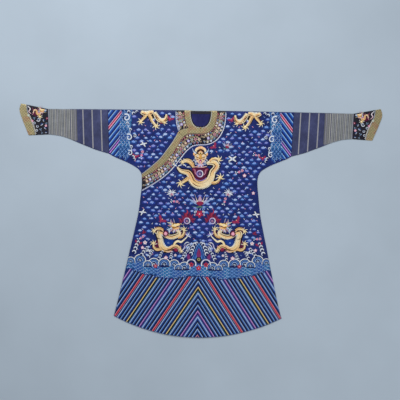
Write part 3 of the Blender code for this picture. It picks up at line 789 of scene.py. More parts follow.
def stations(path, spacing):
    """Places at an even spacing along a curve, with the way it runs and the share of its length."""
    fine = catmull(path, 200)
    run = run_length(fine)
    at = np.arange(spacing / 2, run[-1], spacing)
    line = np.stack([np.interp(at, run, axis) for axis in fine.T], -1)
    way = np.stack([np.interp(at, run, axis) for axis in np.gradient(fine, axis=0).T], -1)
    return line, way / np.linalg.norm(way, axis=1)[:, None], at / run[-1]


def beside(path, width, side, steps=60):
    """A curve's points moved to one side, by a share of half the width there."""
    line = catmull(path, steps)
    wide = spread(width, np.linspace(0, 1, steps))[:, None]
    return line + sideways(np.gradient(line, axis=0)) * side * wide / 2


def scales(path, width, base, pitch=7.0):
    """Rows of scales across a body, each row moved half a scale from the last, over the body's own arch. Each
    is drawn by its dark rim."""
    line, way, share = stations(path, pitch * 0.8)
    wide = spread(width, share)[:, None]
    off = (np.arange(-4, 5)[None] + 0.5 * (np.arange(len(line)) % 2)[:, None]) * pitch
    x, down = (line[:, None] + sideways(way)[:, None] * off[..., None]).transpose(2, 0, 1)
    turn = np.degrees(np.arctan2(-way[:, 0], way[:, 1]))[:, None] + 0 * off
    arch = 0.8 * np.sqrt(np.maximum(1 - (2 * off / wide) ** 2, 0))
    keep = np.abs(off) < wide / 2 - 0.5 * pitch
    rim = arc_ring(pitch * 0.5, 1.0, "#D49A60", 10, 170, 0.12, 6, 0.15)
    return rim.at(x[keep], down[keep], turn[keep], lift=(base + arch - 0.1)[keep])


def fins(path, width, dye, side, reach=7.0, spacing=6.0, base=0.2):
    """A comb of pointed fins along one edge of a body."""
    line, way, share = stations(path, spacing)
    wide = spread(width, share)
    normal = sideways(way) * side
    x, down = (line + normal * (wide / 2)[:, None]).T
    turn = np.degrees(np.arctan2(normal[:, 0], -normal[:, 1])) + 18 * side
    one = patch([(-0.45 * spacing, 1), (0, -reach), (0.45 * spacing, 1)], dye, 0.35, base, 6, smooth=False)
    return one.at(x, down, turn, np.clip(wide / max(width), 0.45, 1))


def serpent(path, width, steps):
    """A dragon's body: a dark outline, a round gold strip in painted light and shade, cream to peach along
    its length and darker to its edges, scales, a pale belly along one side behind a dark line, white fins
    along the other, and a painted highlight along the fin side."""
    base = 0.3
    made = strip(path, np.array(width) + 16, OUTLINE, 0.2, base - 0.15, steps)
    made += fins(path, width, WHITE, -1)
    # Painted light and shade: the gold runs from cream to peach and back along the body
    gold = [GOLD_LIGHT, GOLD, PEACH, GOLD, GOLD_LIGHT, GOLD, PEACH, GOLD, GOLD_LIGHT]
    made += strip(path, width, gold, 1.1, base, steps, columns=7)
    made += scales(path, width, base + 0.3)
    belly = beside(path, width, 0.72)
    made += strip(belly, np.array(width) * 0.3, [CREAM, GOLD_LIGHT, GOLD_DEEP, CREAM], 0.5, base + 0.5, steps)
    line = beside(path, width, 0.44)
    made += strip(line, [0.6, 4.4, 6, 1.6, 0.8, 5.6, 4, 0.6], "#381014", 0.3, base + 1.05, steps)
    # A cream painted highlight along the fin side
    ridge = beside(path, width, -0.7)
    return made + strip(ridge, np.array(width) * 0.2, GOLD_LIGHT, 0.3, base + 0.75, steps)


def claw(size=1.0):
    """A palm with five spread talons, each a strip that thins to its nail, on a dark outline."""
    made = disc(0, 0, 7.5, GOLD, 0.8, 0.3, 12, GOLD_DEEP)
    dark = disc(0, 0, 12, OUTLINE, 0.12, 0.16, 12)
    for turn in (-104, -52, 0, 52, 110):
        toe = strip([(0, -3), (1.5, -10), (-1, -18)], [7, 6, 4.4], [GOLD, GOLD_LIGHT], 0.7, 0.35, 8)
        tip = strip([(-1, -17), (-3, -22), (-7.5, -25)], [4.4, 3.2, 1], WHITE, 0.5, 0.4, 7)
        under = strip([(0, -3), (1.5, -10), (-1, -20), (-7, -25)], [11, 10, 8, 3], OUTLINE, 0.1, 0.14, 9)
        dark += under.at(0, 0, turn)
        made += (toe + tip).at(0, 0, turn)
    return (dark + made).at(0, 0, 0, size)


def leg(path, width, turn, size=1.0, wisp=CRIMSON):
    """A limb with its claw at the end, and flame wisps at the elbow."""
    (ex, ed), (tx, td) = path[len(path) // 2], path[-1]
    made = flame(wisp, 0.7).at(ex, ed, turn + 150)
    made += strip(path, np.array(width) + 10, OUTLINE, 0.2, 0.2, 24)
    made += strip(path, width, [GOLD_DEEP, GOLD, GOLD_LIGHT], 1.0, 0.4, 24, columns=5)
    made += strip(beside(path, width, 0.45, 24), [1, 3, 1], MAROON, 0.25, 1.25, 24)
    return made + scales(path, width, 0.65, 6.0) + claw(size).at(tx, td, turn)


def flame(dye, size=1.0):
    """Five tongues of flame from one root, the middle one longest."""
    made = patch([(-7, 3), (-8, -5), (-3, -10), (3, -10), (8, -5), (7, 3), (0, 6)], MAROON, 0.3, 0.18, 16)
    made += strip([(0, 2), (-4, -8), (2, -15), (0, -25)], [7, 8, 5, 0.8], [dye, "#C04058"], 0.5, 0.3, 12)
    side = strip([(2, 2), (9, -3), (8, -11), (13, -18)], [5, 6, 4, 0.6], [dye, MAROON], 0.4, 0.25, 10)
    side += strip([(3, 3), (12, 2), (16, -5), (20, -8)], [4, 5, 3, 0.6], dye, 0.4, 0.2, 10)
    return (made + side.both()).at(0, 0, 0, size)


def mane(count, inner, reach, start, end, dyes, width=5.5, base=0.2):
    """Locks of hair spread over a fan of angles, each bending as it thins."""
    made = Motif()
    for k, turn in enumerate(np.linspace(start, end, count)):
        bend = 5 if turn > (start + end) / 2 else -5
        tip = -inner - reach * (0.9 + 0.15 * (k % 2))
        lock = [(0, -inner), (bend * 0.2, -inner - reach * 0.5), (bend, tip)]
        high = base + 0.03 * (k % 3)
        made += strip(lock, [width, width, 0.9], dyes[k % len(dyes)], 0.6, high, 9).at(0, 0, turn)
    return made


def eye(x, down, base, size=1.0):
    white = disc(x, down, 5.2 * size, WHITE, 0.4, base, 12, OUTLINE)
    return white + disc(x, down, 2.5 * size, BLACK, 0.3, base + 0.32, 8)


def head_side():
    """A dragon's head from the side, facing right: mane, horn, skull, snout, open jaw, eye and whiskers."""
    made = mane(12, 10, 34, -165, -20, [PALE_BLUE, WHITE, GREEN, PINK], 6)
    made += strip([(-6, -16), (-18, -28), (-30, -30), (-40, -38)], [8, 6, 5, 2], [GOLD, CREAM], 0.8, 0.6, 18)
    skull = [(-20, -6), (-14, -20), (2, -23), (14, -15), (30, -15), (40, -8)]
    skull += [(36, 1), (16, 4), (4, 12), (-14, 12)]
    jaw = [(-14, 10), (2, 10), (14, 8), (30, 12), (34, 18), (20, 22), (0, 22), (-14, 18)]
    made += patch(np.array(skull) * 1.12, OUTLINE, 0.3, 0.35, 30)
    made += patch(jaw, GOLD_DEEP, 0.7, 0.5, 24, OUTLINE)
    made += patch([(6, 7), (20, 5), (34, 4), (26, 11), (12, 11)], CRIMSON, 0.3, 0.7, 14)
    made += patch(skull, GOLD, 1.1, 0.55, 30, GOLD_SHADE)
    made += patch([(-14, -2), (-2, 0), (10, 8), (0, 12), (-14, 10)], "#A8702C", 0.5, 1.3, 16, "#7A4420")
    made += strip([(-8, -14), (4, -20), (18, -14)], [5, 7, 3], ["#5C3420", "#8A5A30"], 0.6, 1.4, 12)
    made += strip([(-6, 12), (10, 6), (36, 3)], [3, 5, 3], "#5A1420", 0.3, 1.45, 14)
    for lean in (-12, 4):
        horn = [(lean, -18), (lean * 1.5, -34), (lean * 0.9, -52)]
        made += strip(horn, [7, 6, 2], ["#8A7C90", "#D8D0DC"], 0.7, 0.7, 14)
    made += eye(5, -8, 1.5) + disc(35, -7, 3.4, PEACH, 0.5, 1.3, 10)
    fang = patch([(22, 4), (26, 4), (24, 11)], WHITE, 0.3, 1.2, 6, WHITE, False)
    made += fang + fang.at(8, 0)
    made += strip([(34, -2), (46, -8), (54, 2), (66, -4)], [4, 3, 2, 0.8], CREAM, 0.5, 0.9, 20)
    made += strip([(30, 16), (40, 24), (52, 22), (58, 32)], [4, 3, 2, 0.8], CREAM, 0.5, 0.7, 18)
    made += mane(6, 18, 22, 140, 205, [WHITE, PINK], 5, 0.4)
    return made


def pearl(radius=20.0):
    """A flaming pearl: a white ring round a dark heart, on deep red."""
    made = disc(0, 0, radius * 1.08, MAROON, 0.2, 0.2, 24, CRIMSON)
    made += arc_ring(radius * 0.84, radius * 0.3, [WHITE, LILAC, WHITE], 0, 360, 0.5, 28, 0.7)
    made += disc(0, 0, radius * 0.66, "#4A4078", 0.4, 0.45, 18, NAVY)
    return made + curl(radius * 0.34, radius * 0.12, PINK, 1.1, 30, 1, 0.95, 12, 0.3)


CHEST_BODY = (
    (38, -20), (61, -27), (84, -25), (97, -8), (88, 10), (73, 29), (68, 54), (53, 84), (24, 104),
    (-9, 108), (-42, 90), (-57, 60), (-70, 38), (-90, 32), (-117, 25), (-138, 4),
)
CHEST_WIDTH = (14, 26, 33, 34, 31, 33, 39, 44, 44, 41, 39, 36, 30, 26, 20, 9)


def horned_face():
    """A dragon's face seen from the front: a domed crown over a dark notch, horns, brows, eyes, snout, a long
    jaw with whiskers, and a beard."""
    made = mane(15, 20, 24, -122, 122, [PALE_BLUE, WHITE, MID_BLUE, PINK]).at(0, -58)
    crown = [(-30, -92), (-25, -109), (0, -120), (25, -109), (30, -92), (15, -86), (0, -101), (-15, -86)]
    made += patch(np.array(crown) * (1.1, 1.0) - (0, 2), OUTLINE, 0.2, 0.4, 28)
    ring = [(-29, -92), (-24, -106), (0, -116), (24, -106), (29, -92)]
    made += strip(ring, [13, 15, 17, 15, 13], [GOLD_LIGHT, PEACH, GOLD_LIGHT], 1.1, 0.6, 26, columns=5)
    made += strip([(-24, -84), (0, -103), (24, -84)], [5, 9, 5], "#3A1216", 0.4, 0.95, 14)
    horn = [(26, -78), (37, -87), (45, -98), (49, -112)]
    made += strip(horn, [9, 8, 6, 2], [WHITE, PALE_BLUE], 0.9, 0.7, 18).both()
    face = [(0, -98), (18, -84), (37, -76), (35, -59), (26, -40), (14, -26), (0, -14)]
    face += [(-14, -26), (-26, -40), (-35, -59), (-37, -76), (-18, -84)]
    made += patch(np.array(face) * 1.1 + (0, 5), OUTLINE, 0.3, 0.5, 36)
    made += patch(face, "#F4CE9A", 1.2, 0.7, 36, "#B4703C")
    side = patch([(30, -80), (42, -86), (45, -74), (36, -68)], GOLD_DEEP, 0.6, 0.6, 12, MAROON)
    brow = [(5, -70), (14, -79), (25, -78), (34, -70)]
    side += strip(brow, [4, 7, 3], ["#5A4A20", "#2C2418"], 0.6, 1.7, 14) + eye(17, -66, 1.8, 0.9)
    side += strip([(8, -58), (18, -55), (29, -63)], [2, 5, 2], "#5C2420", 0.3, 1.8, 12)
    side += strip([(34, -62), (26, -44), (15, -28), (4, -14)], [4, 6, 6, 4], [GOLD_LIGHT, PINK], 0.7, 1.5, 16)
    side += strip([(10, -48), (20, -44), (27, -50)], [3, 5, 2], "#8A3A34", 0.3, 1.8, 10)
    whisker = [(14, -34), (28, -30), (38, -38), (50, -34), (56, -44)]
    side += strip(whisker, [4, 4, 3, 2, 1], WHITE, 0.5, 1.0, 20)
    side += curl(9, 3.4, [WHITE, PALE_BLUE], 1.2, 250, 1, 0.9, 16).at(25, -20)
    made += side.both()
    nose = [(-8, -58), (-4, -84), (4, -84), (8, -58), (11, -50), (0, -44), (-11, -50)]
    made += patch(nose, "#D8A050", 0.7, 1.7, 22, "#8A5428")
    made += disc(0, -80, 5, "#7A6428", 0.4, 2.2, 10, "#4A3418")
    made += disc(-5, -50, 2.2, BLACK, 0.2, 2.3, 8) + disc(5, -50, 2.2, BLACK, 0.2, 2.3, 8)
    made += patch([(-11, -42), (0, -45), (11, -42), (6, -30), (0, -20), (-6, -30)], CRIMSON, 0.3, 1.75, 16)
    tooth = patch([(5, -43), (9, -43), (7, -35)], WHITE, 0.3, 2.0, 6, WHITE, False)
    made += tooth.both() + patch([(-4, -32), (0, -36), (4, -32), (0, -19)], PINK, 0.4, 2.0, 10)
    return made + mane(9, 2, 24, 118, 242, [WHITE, PINK, PALE_BLUE], 5.5, 0.9).at(0, -20)


def chest_dragon():
    """A dragon seen from the front, coiled round a pearl: its body and tail fins, four legs, and the face."""
    ground = [(-48, 6), (0, 2), (49, 6), (44, 40), (28, 74), (0, 84), (-28, 74), (-44, 40)]
    made = patch(ground, MAROON, 0.15, 0.14, 30)
    wisp = strip([(46, 12), (33, 20), (30, 38), (22, 48)], [12, 10, 6, 2], [CRIMSON, PINK], 0.4, 0.25, 14)
    made += wisp.both() + strip([(-38, 64), (-20, 78), (0, 82), (20, 78), (38, 64)], 4, LILAC, 0.3, 0.25, 20)
    fin = mane(6, 3, 26, -75, 75, [NAVY, WHITE, MID_BLUE, NAVY], 6, 0.3)
    made += fin.at(-138, 0, -15) + fin.at(-84, 2, 10, 0.9)
    made += leg([(-42, 0), (-52, -18), (-68, -33), (-90, -36), (-106, -27)], [16, 23, 26, 22, 14], -85, 0.9)
    made += serpent(CHEST_BODY, CHEST_WIDTH, 140)
    made += leg([(56, -30), (70, -46), (90, -50), (108, -45)], [18, 17, 15, 11], 55, 1.1)
    made += leg([(66, 92), (88, 94), (108, 84), (120, 62)], [17, 18, 15, 10], 8, 1.1)
    made += leg([(-60, 64), (-80, 76), (-100, 90), (-116, 102)], [22, 21, 17, 12], -128, 1.1)
    # A dark maroon line on the body by the lower leg: painted shade
    made += strip([(-46, 96), (-24, 112), (2, 118)], [3, 5, 2], MAROON, 0.3, 1.35, 14)
    made += pearl(22).at(-2, 41, lift=0.3)
    chin = [(-50, 3), (-24, 0), (0, 2), (24, 0), (38, -4)]
    made += strip(chin, [3, 5, 5, 5, 3], [GOLD, PINK, GOLD], 0.6, 0.8, 22)
    return made + horned_face()


PROFILE_BODY = (
    (40, -36), (52, -14), (34, -2), (5, 6), (-22, 0), (-42, -16), (-66, -22), (-71, -8), (-64, 12),
    (-60, 34), (-54, 58), (-38, 76), (-12, 80), (14, 65), (36, 61), (50, 73), (60, 90), (72, 94),
)
PROFILE_WIDTH = (18, 22, 24, 26, 24, 24, 28, 28, 27, 29, 33, 34, 29, 22, 19, 16, 11, 5)
# Painted shade: dark maroon fills in the gaps between the body and its limbs, each an outline
PROFILE_GAP_SHADE = (
    [(-97, 34), (-80, 26), (-68, 40), (-64, 70), (-84, 74), (-98, 54)],
    [(44, 2), (56, -26), (70, -28), (68, -4), (56, 6)],
    [(14, 72), (34, 66), (48, 80), (40, 96), (22, 92)],
    [(-92, -30), (-70, -34), (-60, -18), (-78, -12)],
)
# Painted shade: dark lines across the body's bends, each a line and its width
PROFILE_CREASE_SHADE = (
    ([(-78, -31), (-62, -34), (-47, -25)], 6),
    ([(-78, 12), (-68, 18), (-54, 18)], 6),
    ([(-20, 79), (-2, 82), (16, 77)], 7),
)


def profile_dragon():
    """A dragon seen from the side, rising: its body in two bends, four legs, fins on its tail, and its head
    turned to the centre line."""
    made = patch([(-30, 18), (10, 16), (20, 40), (0, 62), (-30, 58), (-40, 36)], DEEP_BLUE, 0.1, 0.13, 24)
    made += (curl(6, 2, PALE_BLUE, 1, 0, 1) + curl(6, 2, PALE_BLUE, 1, 180, -1)).at(-13, 40)
    tail = [(20, 58), (27, 40), (44, 30), (62, 35), (78, 24), (96, 6), (106, -14)]
    made += mane(7, 2, 24, -70, 80, [WHITE, LILAC, PALE_BLUE], 5, 0.3).at(102, -2, 28)
    made += strip(tail, [19, 17, 17, 16, 13, 9, 5], OUTLINE, 0.2, 0.2, 40)
    made += strip(tail, [13, 12, 13, 12, 9, 6, 2], [GOLD, GOLD_LIGHT, CREAM, WHITE], 0.8, 0.35, 40, columns=5)
    made += strip([(66, 90), (80, 76), (86, 60), (92, 48)], [3, 7, 6, 1], [WHITE, LILAC], 0.5, 0.3, 18)
    # Painted shade in the gaps between body and limbs
    for gap in PROFILE_GAP_SHADE:
        made += patch(gap, MAROON, 0.15, 0.14, 18, "#2A0C14")
    made += serpent(PROFILE_BODY, PROFILE_WIDTH, 150)
    made += patch([(20, 74), (34, 70), (46, 78), (40, 90), (26, 88)], CRIMSON, 0.3, 0.3, 18, MAROON)
    made += strip([(-34, 92), (-12, 96), (14, 90)], [3, 8, 3], [GOLD_LIGHT, PINK], 0.6, 0.5, 16)
    made += disc(-30, -14, 19, MAROON, 0.3, 1.25, 18)
    made += patch([(-40, -18), (-30, -27), (-18, -14), (-28, -2), (-40, -8)], PINK, 0.6, 1.4, 18, CRIMSON)
    # Painted shade in the body's bends
    for line, wide in PROFILE_CREASE_SHADE:
        made += strip(line, [2, wide, 2], "#3A1014", 0.3, 1.35, 14)
    made += leg([(44, 8), (66, 2), (80, -18), (78, -40)], [15, 16, 14, 9], 8, 0.9)
    made += leg([(-46, -34), (-66, -44), (-86, -42), (-98, -30)], [15, 17, 15, 10], -100, 0.9)
    made += leg([(-56, 78), (-82, 82), (-99, 68), (-102, 46)], [17, 17, 13, 9], -5, 0.9)
    made += leg([(40, 60), (56, 70), (64, 88)], [13, 12, 8], 160, 0.7, PINK)
    made += mane(4, 2, 24, -150, -60, [WHITE, PALE_BLUE], 5, 0.5).at(-2, -36)
    return made + head_side().at(22, -58, -14, 0.92, lift=1.0)


def shoulder_dragon():
    """The part of a shoulder's dragon that lies below the fold: three legs, two bends of the body and part of
    its mane."""
    made = mane(6, 6, 22, 110, 250, [CRIMSON, MAROON, PINK], 6, 0.25).at(-40, 0)
    made += serpent([(-62, 2), (-36, 12), (-8, 6), (14, 2)], [20, 27, 26, 20], 50)
    bend = [(18, 4), (30, 26), (48, 48), (72, 52), (88, 40), (92, 14)]
    made += serpent(bend, [20, 24, 25, 22, 17, 10], 70)
    made += leg([(-40, 6), (-34, 24), (-50, 44), (-62, 60)], [16, 18, 15, 11], -140, 0.95)
    made += leg([(-18, 10), (-4, 34), (10, 62), (30, 84)], [18, 19, 16, 11], 140, 1.0, PALE_BLUE)
    made += mane(5, 2, 20, 60, 150, [WHITE, PALE_BLUE, LILAC], 5, 0.4).at(6, 50)
    made += leg([(50, 48), (64, 60), (80, 62)], [13, 12, 9], 75, 0.8)
    # A dark maroon line in the body's bend: painted shade
    return made + strip([(26, 14), (36, 34), (50, 44)], [2, 4, 2], MAROON, 0.3, 1.4, 12)


def cuff_dragon():
    """A small running dragon for the cuff: one bend, a head and a claw, with red clouds round it."""
    body = [(14, -4), (2, 12), (-12, 5), (-14, -12), (-28, -16), (-36, 2)]
    wide = [12, 14, 13, 11, 8, 4]
    made = patch([(-40, -18), (8, -26), (26, 4), (2, 26), (-34, 16)], MAROON, 0.1, 0.05, 20)
    made += strip(body, np.array(wide) + 7, OUTLINE, 0.2, 0.15, 40)
    made += strip(body, wide, [GOLD, GOLD_DEEP, GOLD_LIGHT], 0.8, 0.3, 40)
    made += fins(body, wide, PINK, 1, 6, 6) + scales(body, wide, 0.5, 5.0)
    return made + claw(0.7).at(8, 24, 170) + head_side().at(16, -14, 0, 0.55, lift=0.4)


def cloud(light, shade, tail_dye):
    """A small cloud of the ruyi kind: a pale head of three lobes between two blue curls, over a wavy tail."""
    outline = [(-11, 3), (-11.5, -4), (-5.5, -6), (0, -10), (5.5, -6), (11.5, -4), (11, 3), (4, 5), (-4, 5)]
    tail = [(-22, 10), (-10, 7), (0, 10), (10, 7.5), (22, 11.5)]
    made = strip(tail, [1, 4.4, 5, 4.2, 1], tail_dye, 0.35, 0.12, 12)
    made += curl(6.2, 3.8, tail_dye, 1.0, 200, -1, 0.13, 10, 0.3).at(15, 0).both()
    made += patch(outline, light, 0.45, 0.2, 20, shade)
    return made + strip([(-3, -2), (0, -6), (3, -2)], 1.8, shade, 0.2, 0.56, 6)


def bat():
    """A bat with its wings spread: two long scalloped wings with ribs, a body, and a small bright head."""
    wing = [(0, -5), (9, -15), (20, -22), (31, -20), (27, -12), (27, -3), (18, -4), (14, 5), (8, 3), (3, 9)]
    made = patch(wing, "#8A2450", 0.5, 0.15, 26, MAROON)
    for reach in ((26, -17), (22, -6), (12, 2)):
        made += strip([(1, -3), reach], [1, 2.4, 1], "#B03A68", 0.2, 0.6, 7)
    made = made.both() + patch([(0, -12), (5, -2), (0, 14), (-5, -2)], "#A83458", 0.6, 0.3, 14, MAROON)
    made += disc(0, -10, 3.6, PEACH, 0.4, 0.4, 9)
    return made + strip([(-8, 14), (0, 8), (8, 14)], 3, "#B03A68", 0.4, 0.3, 9)


# The lotus's pairs of petals: reach, rise, dye and rim
LOTUS_PETALS = ((31, -4, "#8FA3C8", SKY), (24, -12, "#B9B4CE", LILAC), (14, -18, CREAM, PINK))


def lotus():
    """A lotus bowl: petals that curl up and out round a red heart, over two leaves and a knot."""
    made = Motif()
    for reach, rise, dye, rim in LOTUS_PETALS:
        petal = [(2, 10), (reach * 0.55, 6), (reach, rise), (reach + 3, rise - 5), (reach * 0.5, -2), (2, 2)]
        made += patch(petal, dye, 0.5, 0.16 + 0.004 * (31 - reach), 18, rim).both()
    made += patch([(-7, 8), (-6, -6), (0, -19), (6, -6), (7, 8)], "#B8A0B8", 0.6, 0.5, 16, CRIMSON)
    made += patch([(-12, 4), (0, -3), (12, 4), (0, 12)], CRIMSON, 0.5, 0.8, 16, MAROON)
    made += strip([(-24, 13), (-10, 17), (0, 14), (10, 17), (24, 13)], [1, 4, 5, 4, 1], GREEN, 0.4, 0.2, 20)
    return made + curl(5, 2, PALE_BLUE, 1.1, 90, 1).at(12, 22).both()


def rod():
    """A spray of three blooms on one stem, with pale leaves."""
    made = strip([(-20, 12), (-6, 2), (8, -4), (18, -12)], [2, 3.4, 3, 1.4], TURQUOISE, 0.4, 0.2, 14)
    made += petals(5, 9, 6, PINK, 0.3, 20, CRIMSON).at(14, -8)
    made += petals(5, 8, 6, "#E070A0", 0.3, 0, WHITE).at(-1, 3)
    made += petals(3, 12, 5, WHITE, 0.2, -60).at(-14, 10)
    return made + petals(2, 9, 4, PALE_BLUE, 0.2, 120).at(5, -2)


def fan_emblem():
    """A fan of plumes on a pink heart, over two small curls."""
    made = mane(7, 2, 22, -78, 78, [WHITE, "#A8AEC4", "#DDE2EE"], 5.6, 0.25)
    made += petals(4, 7, 5, PINK, 0.4, 45, CRIMSON).at(0, 3)
    return made + curl(5, 2.2, WHITE, 1.1, 90, 1).at(9, 8).both()


def crossed_emblem():
    """Two crossed scrolls, wide in the middle, with a knot of ribbon."""
    bar = strip([(-19, -13), (0, 0), (19, 13)], [6, 11, 6], WHITE, 0.6, 0.3, 12)
    dark = strip([(-21, -14), (0, 0), (21, 14)], [12, 16, 12], NAVY, 0.1, 0.13, 12)
    cross = dark + dark.at(0, 0, 0, 1, -1) + bar + bar.at(0, 0, 0, 1, -1, 0.3)
    return cross + petals(4, 5, 3, SKY, 0.9, 45, LILAC)


def blossom(first, second, reach=11.0):
    """A flower of two whorls of five petals round a gold heart."""
    outer = petals(5, reach, reach * 0.62, first, 0.15)
    return outer + petals(5, reach * 0.62, reach * 0.4, second, 0.5, 36, GOLD_LIGHT)


# A breaking wave's half rings from the outside: dye, radius and width as shares of the wave's radius
FOAM = (
    (WHITE, 1.0, 0.15),
    (NAVY, 0.86, 0.13),
    (SKY, 0.72, 0.15),
    (DEEP_BLUE, 0.58, 0.14),
    (PALE_BLUE, 0.44, 0.14),
    (NAVY, 0.3, 0.14),
)


def billow():
    """A breaking wave: half rings of foam and water one inside the other, round a small curl."""
    radius = 34.0
    made = patch([(-radius, 8), (0, -radius), (radius, 8), (0, 16)], NAVY, 0.1, 0.12, 24)
    for number, (dye, share, wide) in enumerate(FOAM):
        made += arc_ring(radius * share, radius * wide, dye, 165, 375, 0.2 + 0.03 * number, 26)
    return made + curl(radius * 0.2, 3.4, [WHITE, TURQUOISE], 1.1, 200, 1, 0.5, 12).at(0, 3)


def wave_scale(dyes):
    """One wave of the calm water: two half rings over a dark ground."""
    radius = 16.0
    made = patch([(-radius, 2), (0, -radius), (radius, 2), (0, 4)], dyes[0], 0.05, 0.12, 10)
    for number, dye in enumerate(dyes[1:]):
        made += arc_ring(radius * (0.9 - 0.44 * number), radius * 0.24, dye, 180, 360, 0.16, 9, 0.25)
    return made


def crest():
    """A crescent of spray: a thick white hook over a dark hollow, curling over to one side."""
    made = patch([(-11, -3), (-3, -13), (8, -11), (12, 2), (4, 11), (-6, 8)], NAVY, 0.1, 0.13, 16)
    hook = [(-9, -2), (-3, -9), (5, -8), (9, 0), (4, 8)]
    return made + strip(hook, [2.4, 6.4, 7, 5.4, 2], [WHITE, "#D4DEF2"], 0.7, 0.3, 14)


def foam_stack():
    """Crescents of spray one over the other, as on a wave's comb."""
    places = [(0, 0, 0, 1), (6, -18, -6, 0.95), (11, -35, -14, 0.85), (19, -50, -24, 0.7)]
    return crest().at(*np.transpose(places), lift=0.1 * np.arange(4))


# Beside the mountain: its spray (x, down, turn, size) and its pale leaves
ROCK_SPRAY = (
    (-13, 2, -44, 0.85), (-26, 10, -28, 1.1), (-36, 28, -10, 1.1), (-42, 47, 0, 1.05),
    (-48, 66, 8, 1.1),
)
ROCK_LEAVES = (
    ((-48, 10), (-62, 8), (-74, 18), (-84, 36)),
    ((-50, 16), (-62, 22), (-70, 34), (-76, 48)),
    ((-48, 22), (-56, 30), (-60, 42), (-62, 54)),
    ((-52, 4), (-68, -4), (-82, 2), (-92, 16)),
)


def rock():
    """The mountain at the centre: a blue peak in pointed bands round a dark red core, over an eye of water,
    with combs of spray and pale leaves down both sides."""
    made = Motif()
    for number, dye in enumerate((SKY, NAVY, "#2E66B4", DEEP_BLUE, SKY, "#1A3478")):
        half, top = 1 - 0.125 * number, 8.0 * number
        side = [(13 * half, 18 + top), (23 * half, 44 + 0.5 * top), (29 * half, 68), (42 * half, 94)]
        outline = [(0, top), *side, (0, 102)] + [(-x, down) for x, down in side[::-1]]
        made += patch(outline, dye, 0.12, 0.14 + 0.08 * number, 44, dye, False)
    core = [(0, 28), (9, 46), (14, 66), (11, 84), (0, 90), (-11, 84), (-14, 66), (-9, 46)]
    made += patch(core, "#7A2C62", 0.3, 0.7, 22, "#3A3488")
    made += strip([(0, 40), (3, 58), (0, 76)], [1, 5, 2], CRIMSON, 0.3, 0.95, 12)
    made += patch([(0, 76), (17, 98), (0, 122), (-17, 98)], BLACK, 0.15, 0.75, 16)
    made += disc(0, 98, 10, "#A89A6A", 0.4, 0.85, 16, "#3E6A50") + disc(0, 98, 4.4, BLACK, 0.3, 1.2, 10)
    spray = crest().at(*np.transpose(ROCK_SPRAY), lift=0.5)
    for leaf in ROCK_LEAVES:
        spray += strip(leaf, [1.4, 6, 5, 1], ["#8E98B8", WHITE, "#C0C8DC"], 0.5, 0.3, 18)
    petal = patch([(-62, 62), (-50, 82), (-58, 106), (-73, 84)], "#7A2E66", 0.4, 0.3, 16, "#3A3488")
    ball = arc_ring(27, 7.5, [WHITE, "#C8CCE8", WHITE], 165, 385, 0.5, 22, 0.6)
    ball += arc_ring(19, 5.5, NAVY, 165, 385, 0.5, 18)
    ball += petals(5, 15, 11, "#B83048", 0.55, 0, MAROON).at(0, 4)
    made += (spray + petal + ball.at(-44, 126)).both()
    return made + petals(5, 16, 12, "#C03048", 0.6, 0, PINK).at(0, 150)


# The small motifs: kind, x, depth, turn, size
SMALL_MOTIFS = (
    ("bat", 85, 217, -48, 0.85), ("lotus", 163, 212, 20, 1.1), ("crossed", 194, 288, 0, 1.15),
    ("rod", 237, 363, 10, 1.1), ("pink_flower", 268, 387, 0, 1.1), ("bat", 376, 284, -10, 0.7),
    ("rod", 338, 262, 40, 0.9), ("pink_flower", 323, 492, 0, 1.0), ("crossed", 342, 620, 30, 0.9),
    ("bat", 186, 56, -20, 0.8), ("crossed", -342, 206, 20, 0.9), ("rod", -353, 270, -40, 1.1),
    ("bat", -388, 284, 10, 0.75), ("crossed", -341, 616, -30, 0.9), ("bat", -186, 56, 20, 0.8),
    ("fan", -169, 502, -15, 1.3), ("fan", 173, 498, 15, 1.3), ("rod", -150, 547, 40, 1.0),
    ("rod", 150, 543, -40, 1.0), ("star_flower", 1, 622, 0, 1.7), ("bat", -228, 664, 42, 1.0),
    ("bat", 230, 664, -42, 1.0), ("flame", -71, 642, -6, 1.9), ("flame", 79, 640, 6, 1.9),
    ("pearl", -73, 664, 0, 1.0), ("pearl", 80, 662, 0, 1.0), ("flame", -102, 664, -60, 1.1),
    ("flame", 109, 662, 60, 1.1), ("flame", -44, 660, 60, 1.0), ("flame", 51, 658, -60, 1.0),
    ("white_flower", -323, 799, 0, 1.2), ("pink_flower", -338, 829, 0, 1.0),
    ("crossed", -300, 846, 20, 0.8), ("white_flower", 320, 795, 0, 1.2),
    ("pink_flower", 341, 836, 0, 1.0), ("crossed", 300, 850, -20, 0.8),
    ("red_flower", -258, 938, 0, 1.4), ("red_flower", 246, 934, 0, 1.4), ("bat", -366, 806, 20, 0.8),
    ("bat", 366, 806, -20, 0.8), ("rod", -349, 770, 0, 1.0), ("rod", 352, 766, 30, 1.0),
    ("flame", -330, 740, -20, 0.8), ("flame", 334, 738, 20, 0.8), ("pink_flower", -196, 888, 0, 1.2),
    ("pink_flower", 204, 886, 0, 1.2), ("white_flower", -140, 872, 0, 0.8),
    ("white_flower", 146, 870, 0, 0.8),
)
BACK_ONLY = 160  # the back's small motifs start this far below the shoulder line, clear of the collar
OVER_SEA = 850  # below this depth they lie over the waves, and are lifted


def star_flower():
    """A dark red flower with a white heart between two pairs of white curls."""
    side = curl(5, 2.4, WHITE, 1.1, 180, 1).at(15, -6) + curl(4, 2, "#C8CCE8", 1.1, 180, 1).at(16, 4)
    return petals(5, 15, 10, "#9C2448", 0.2, 36) + petals(5, 9, 6, "#C8385A", 0.6, 0, WHITE) + side.both()


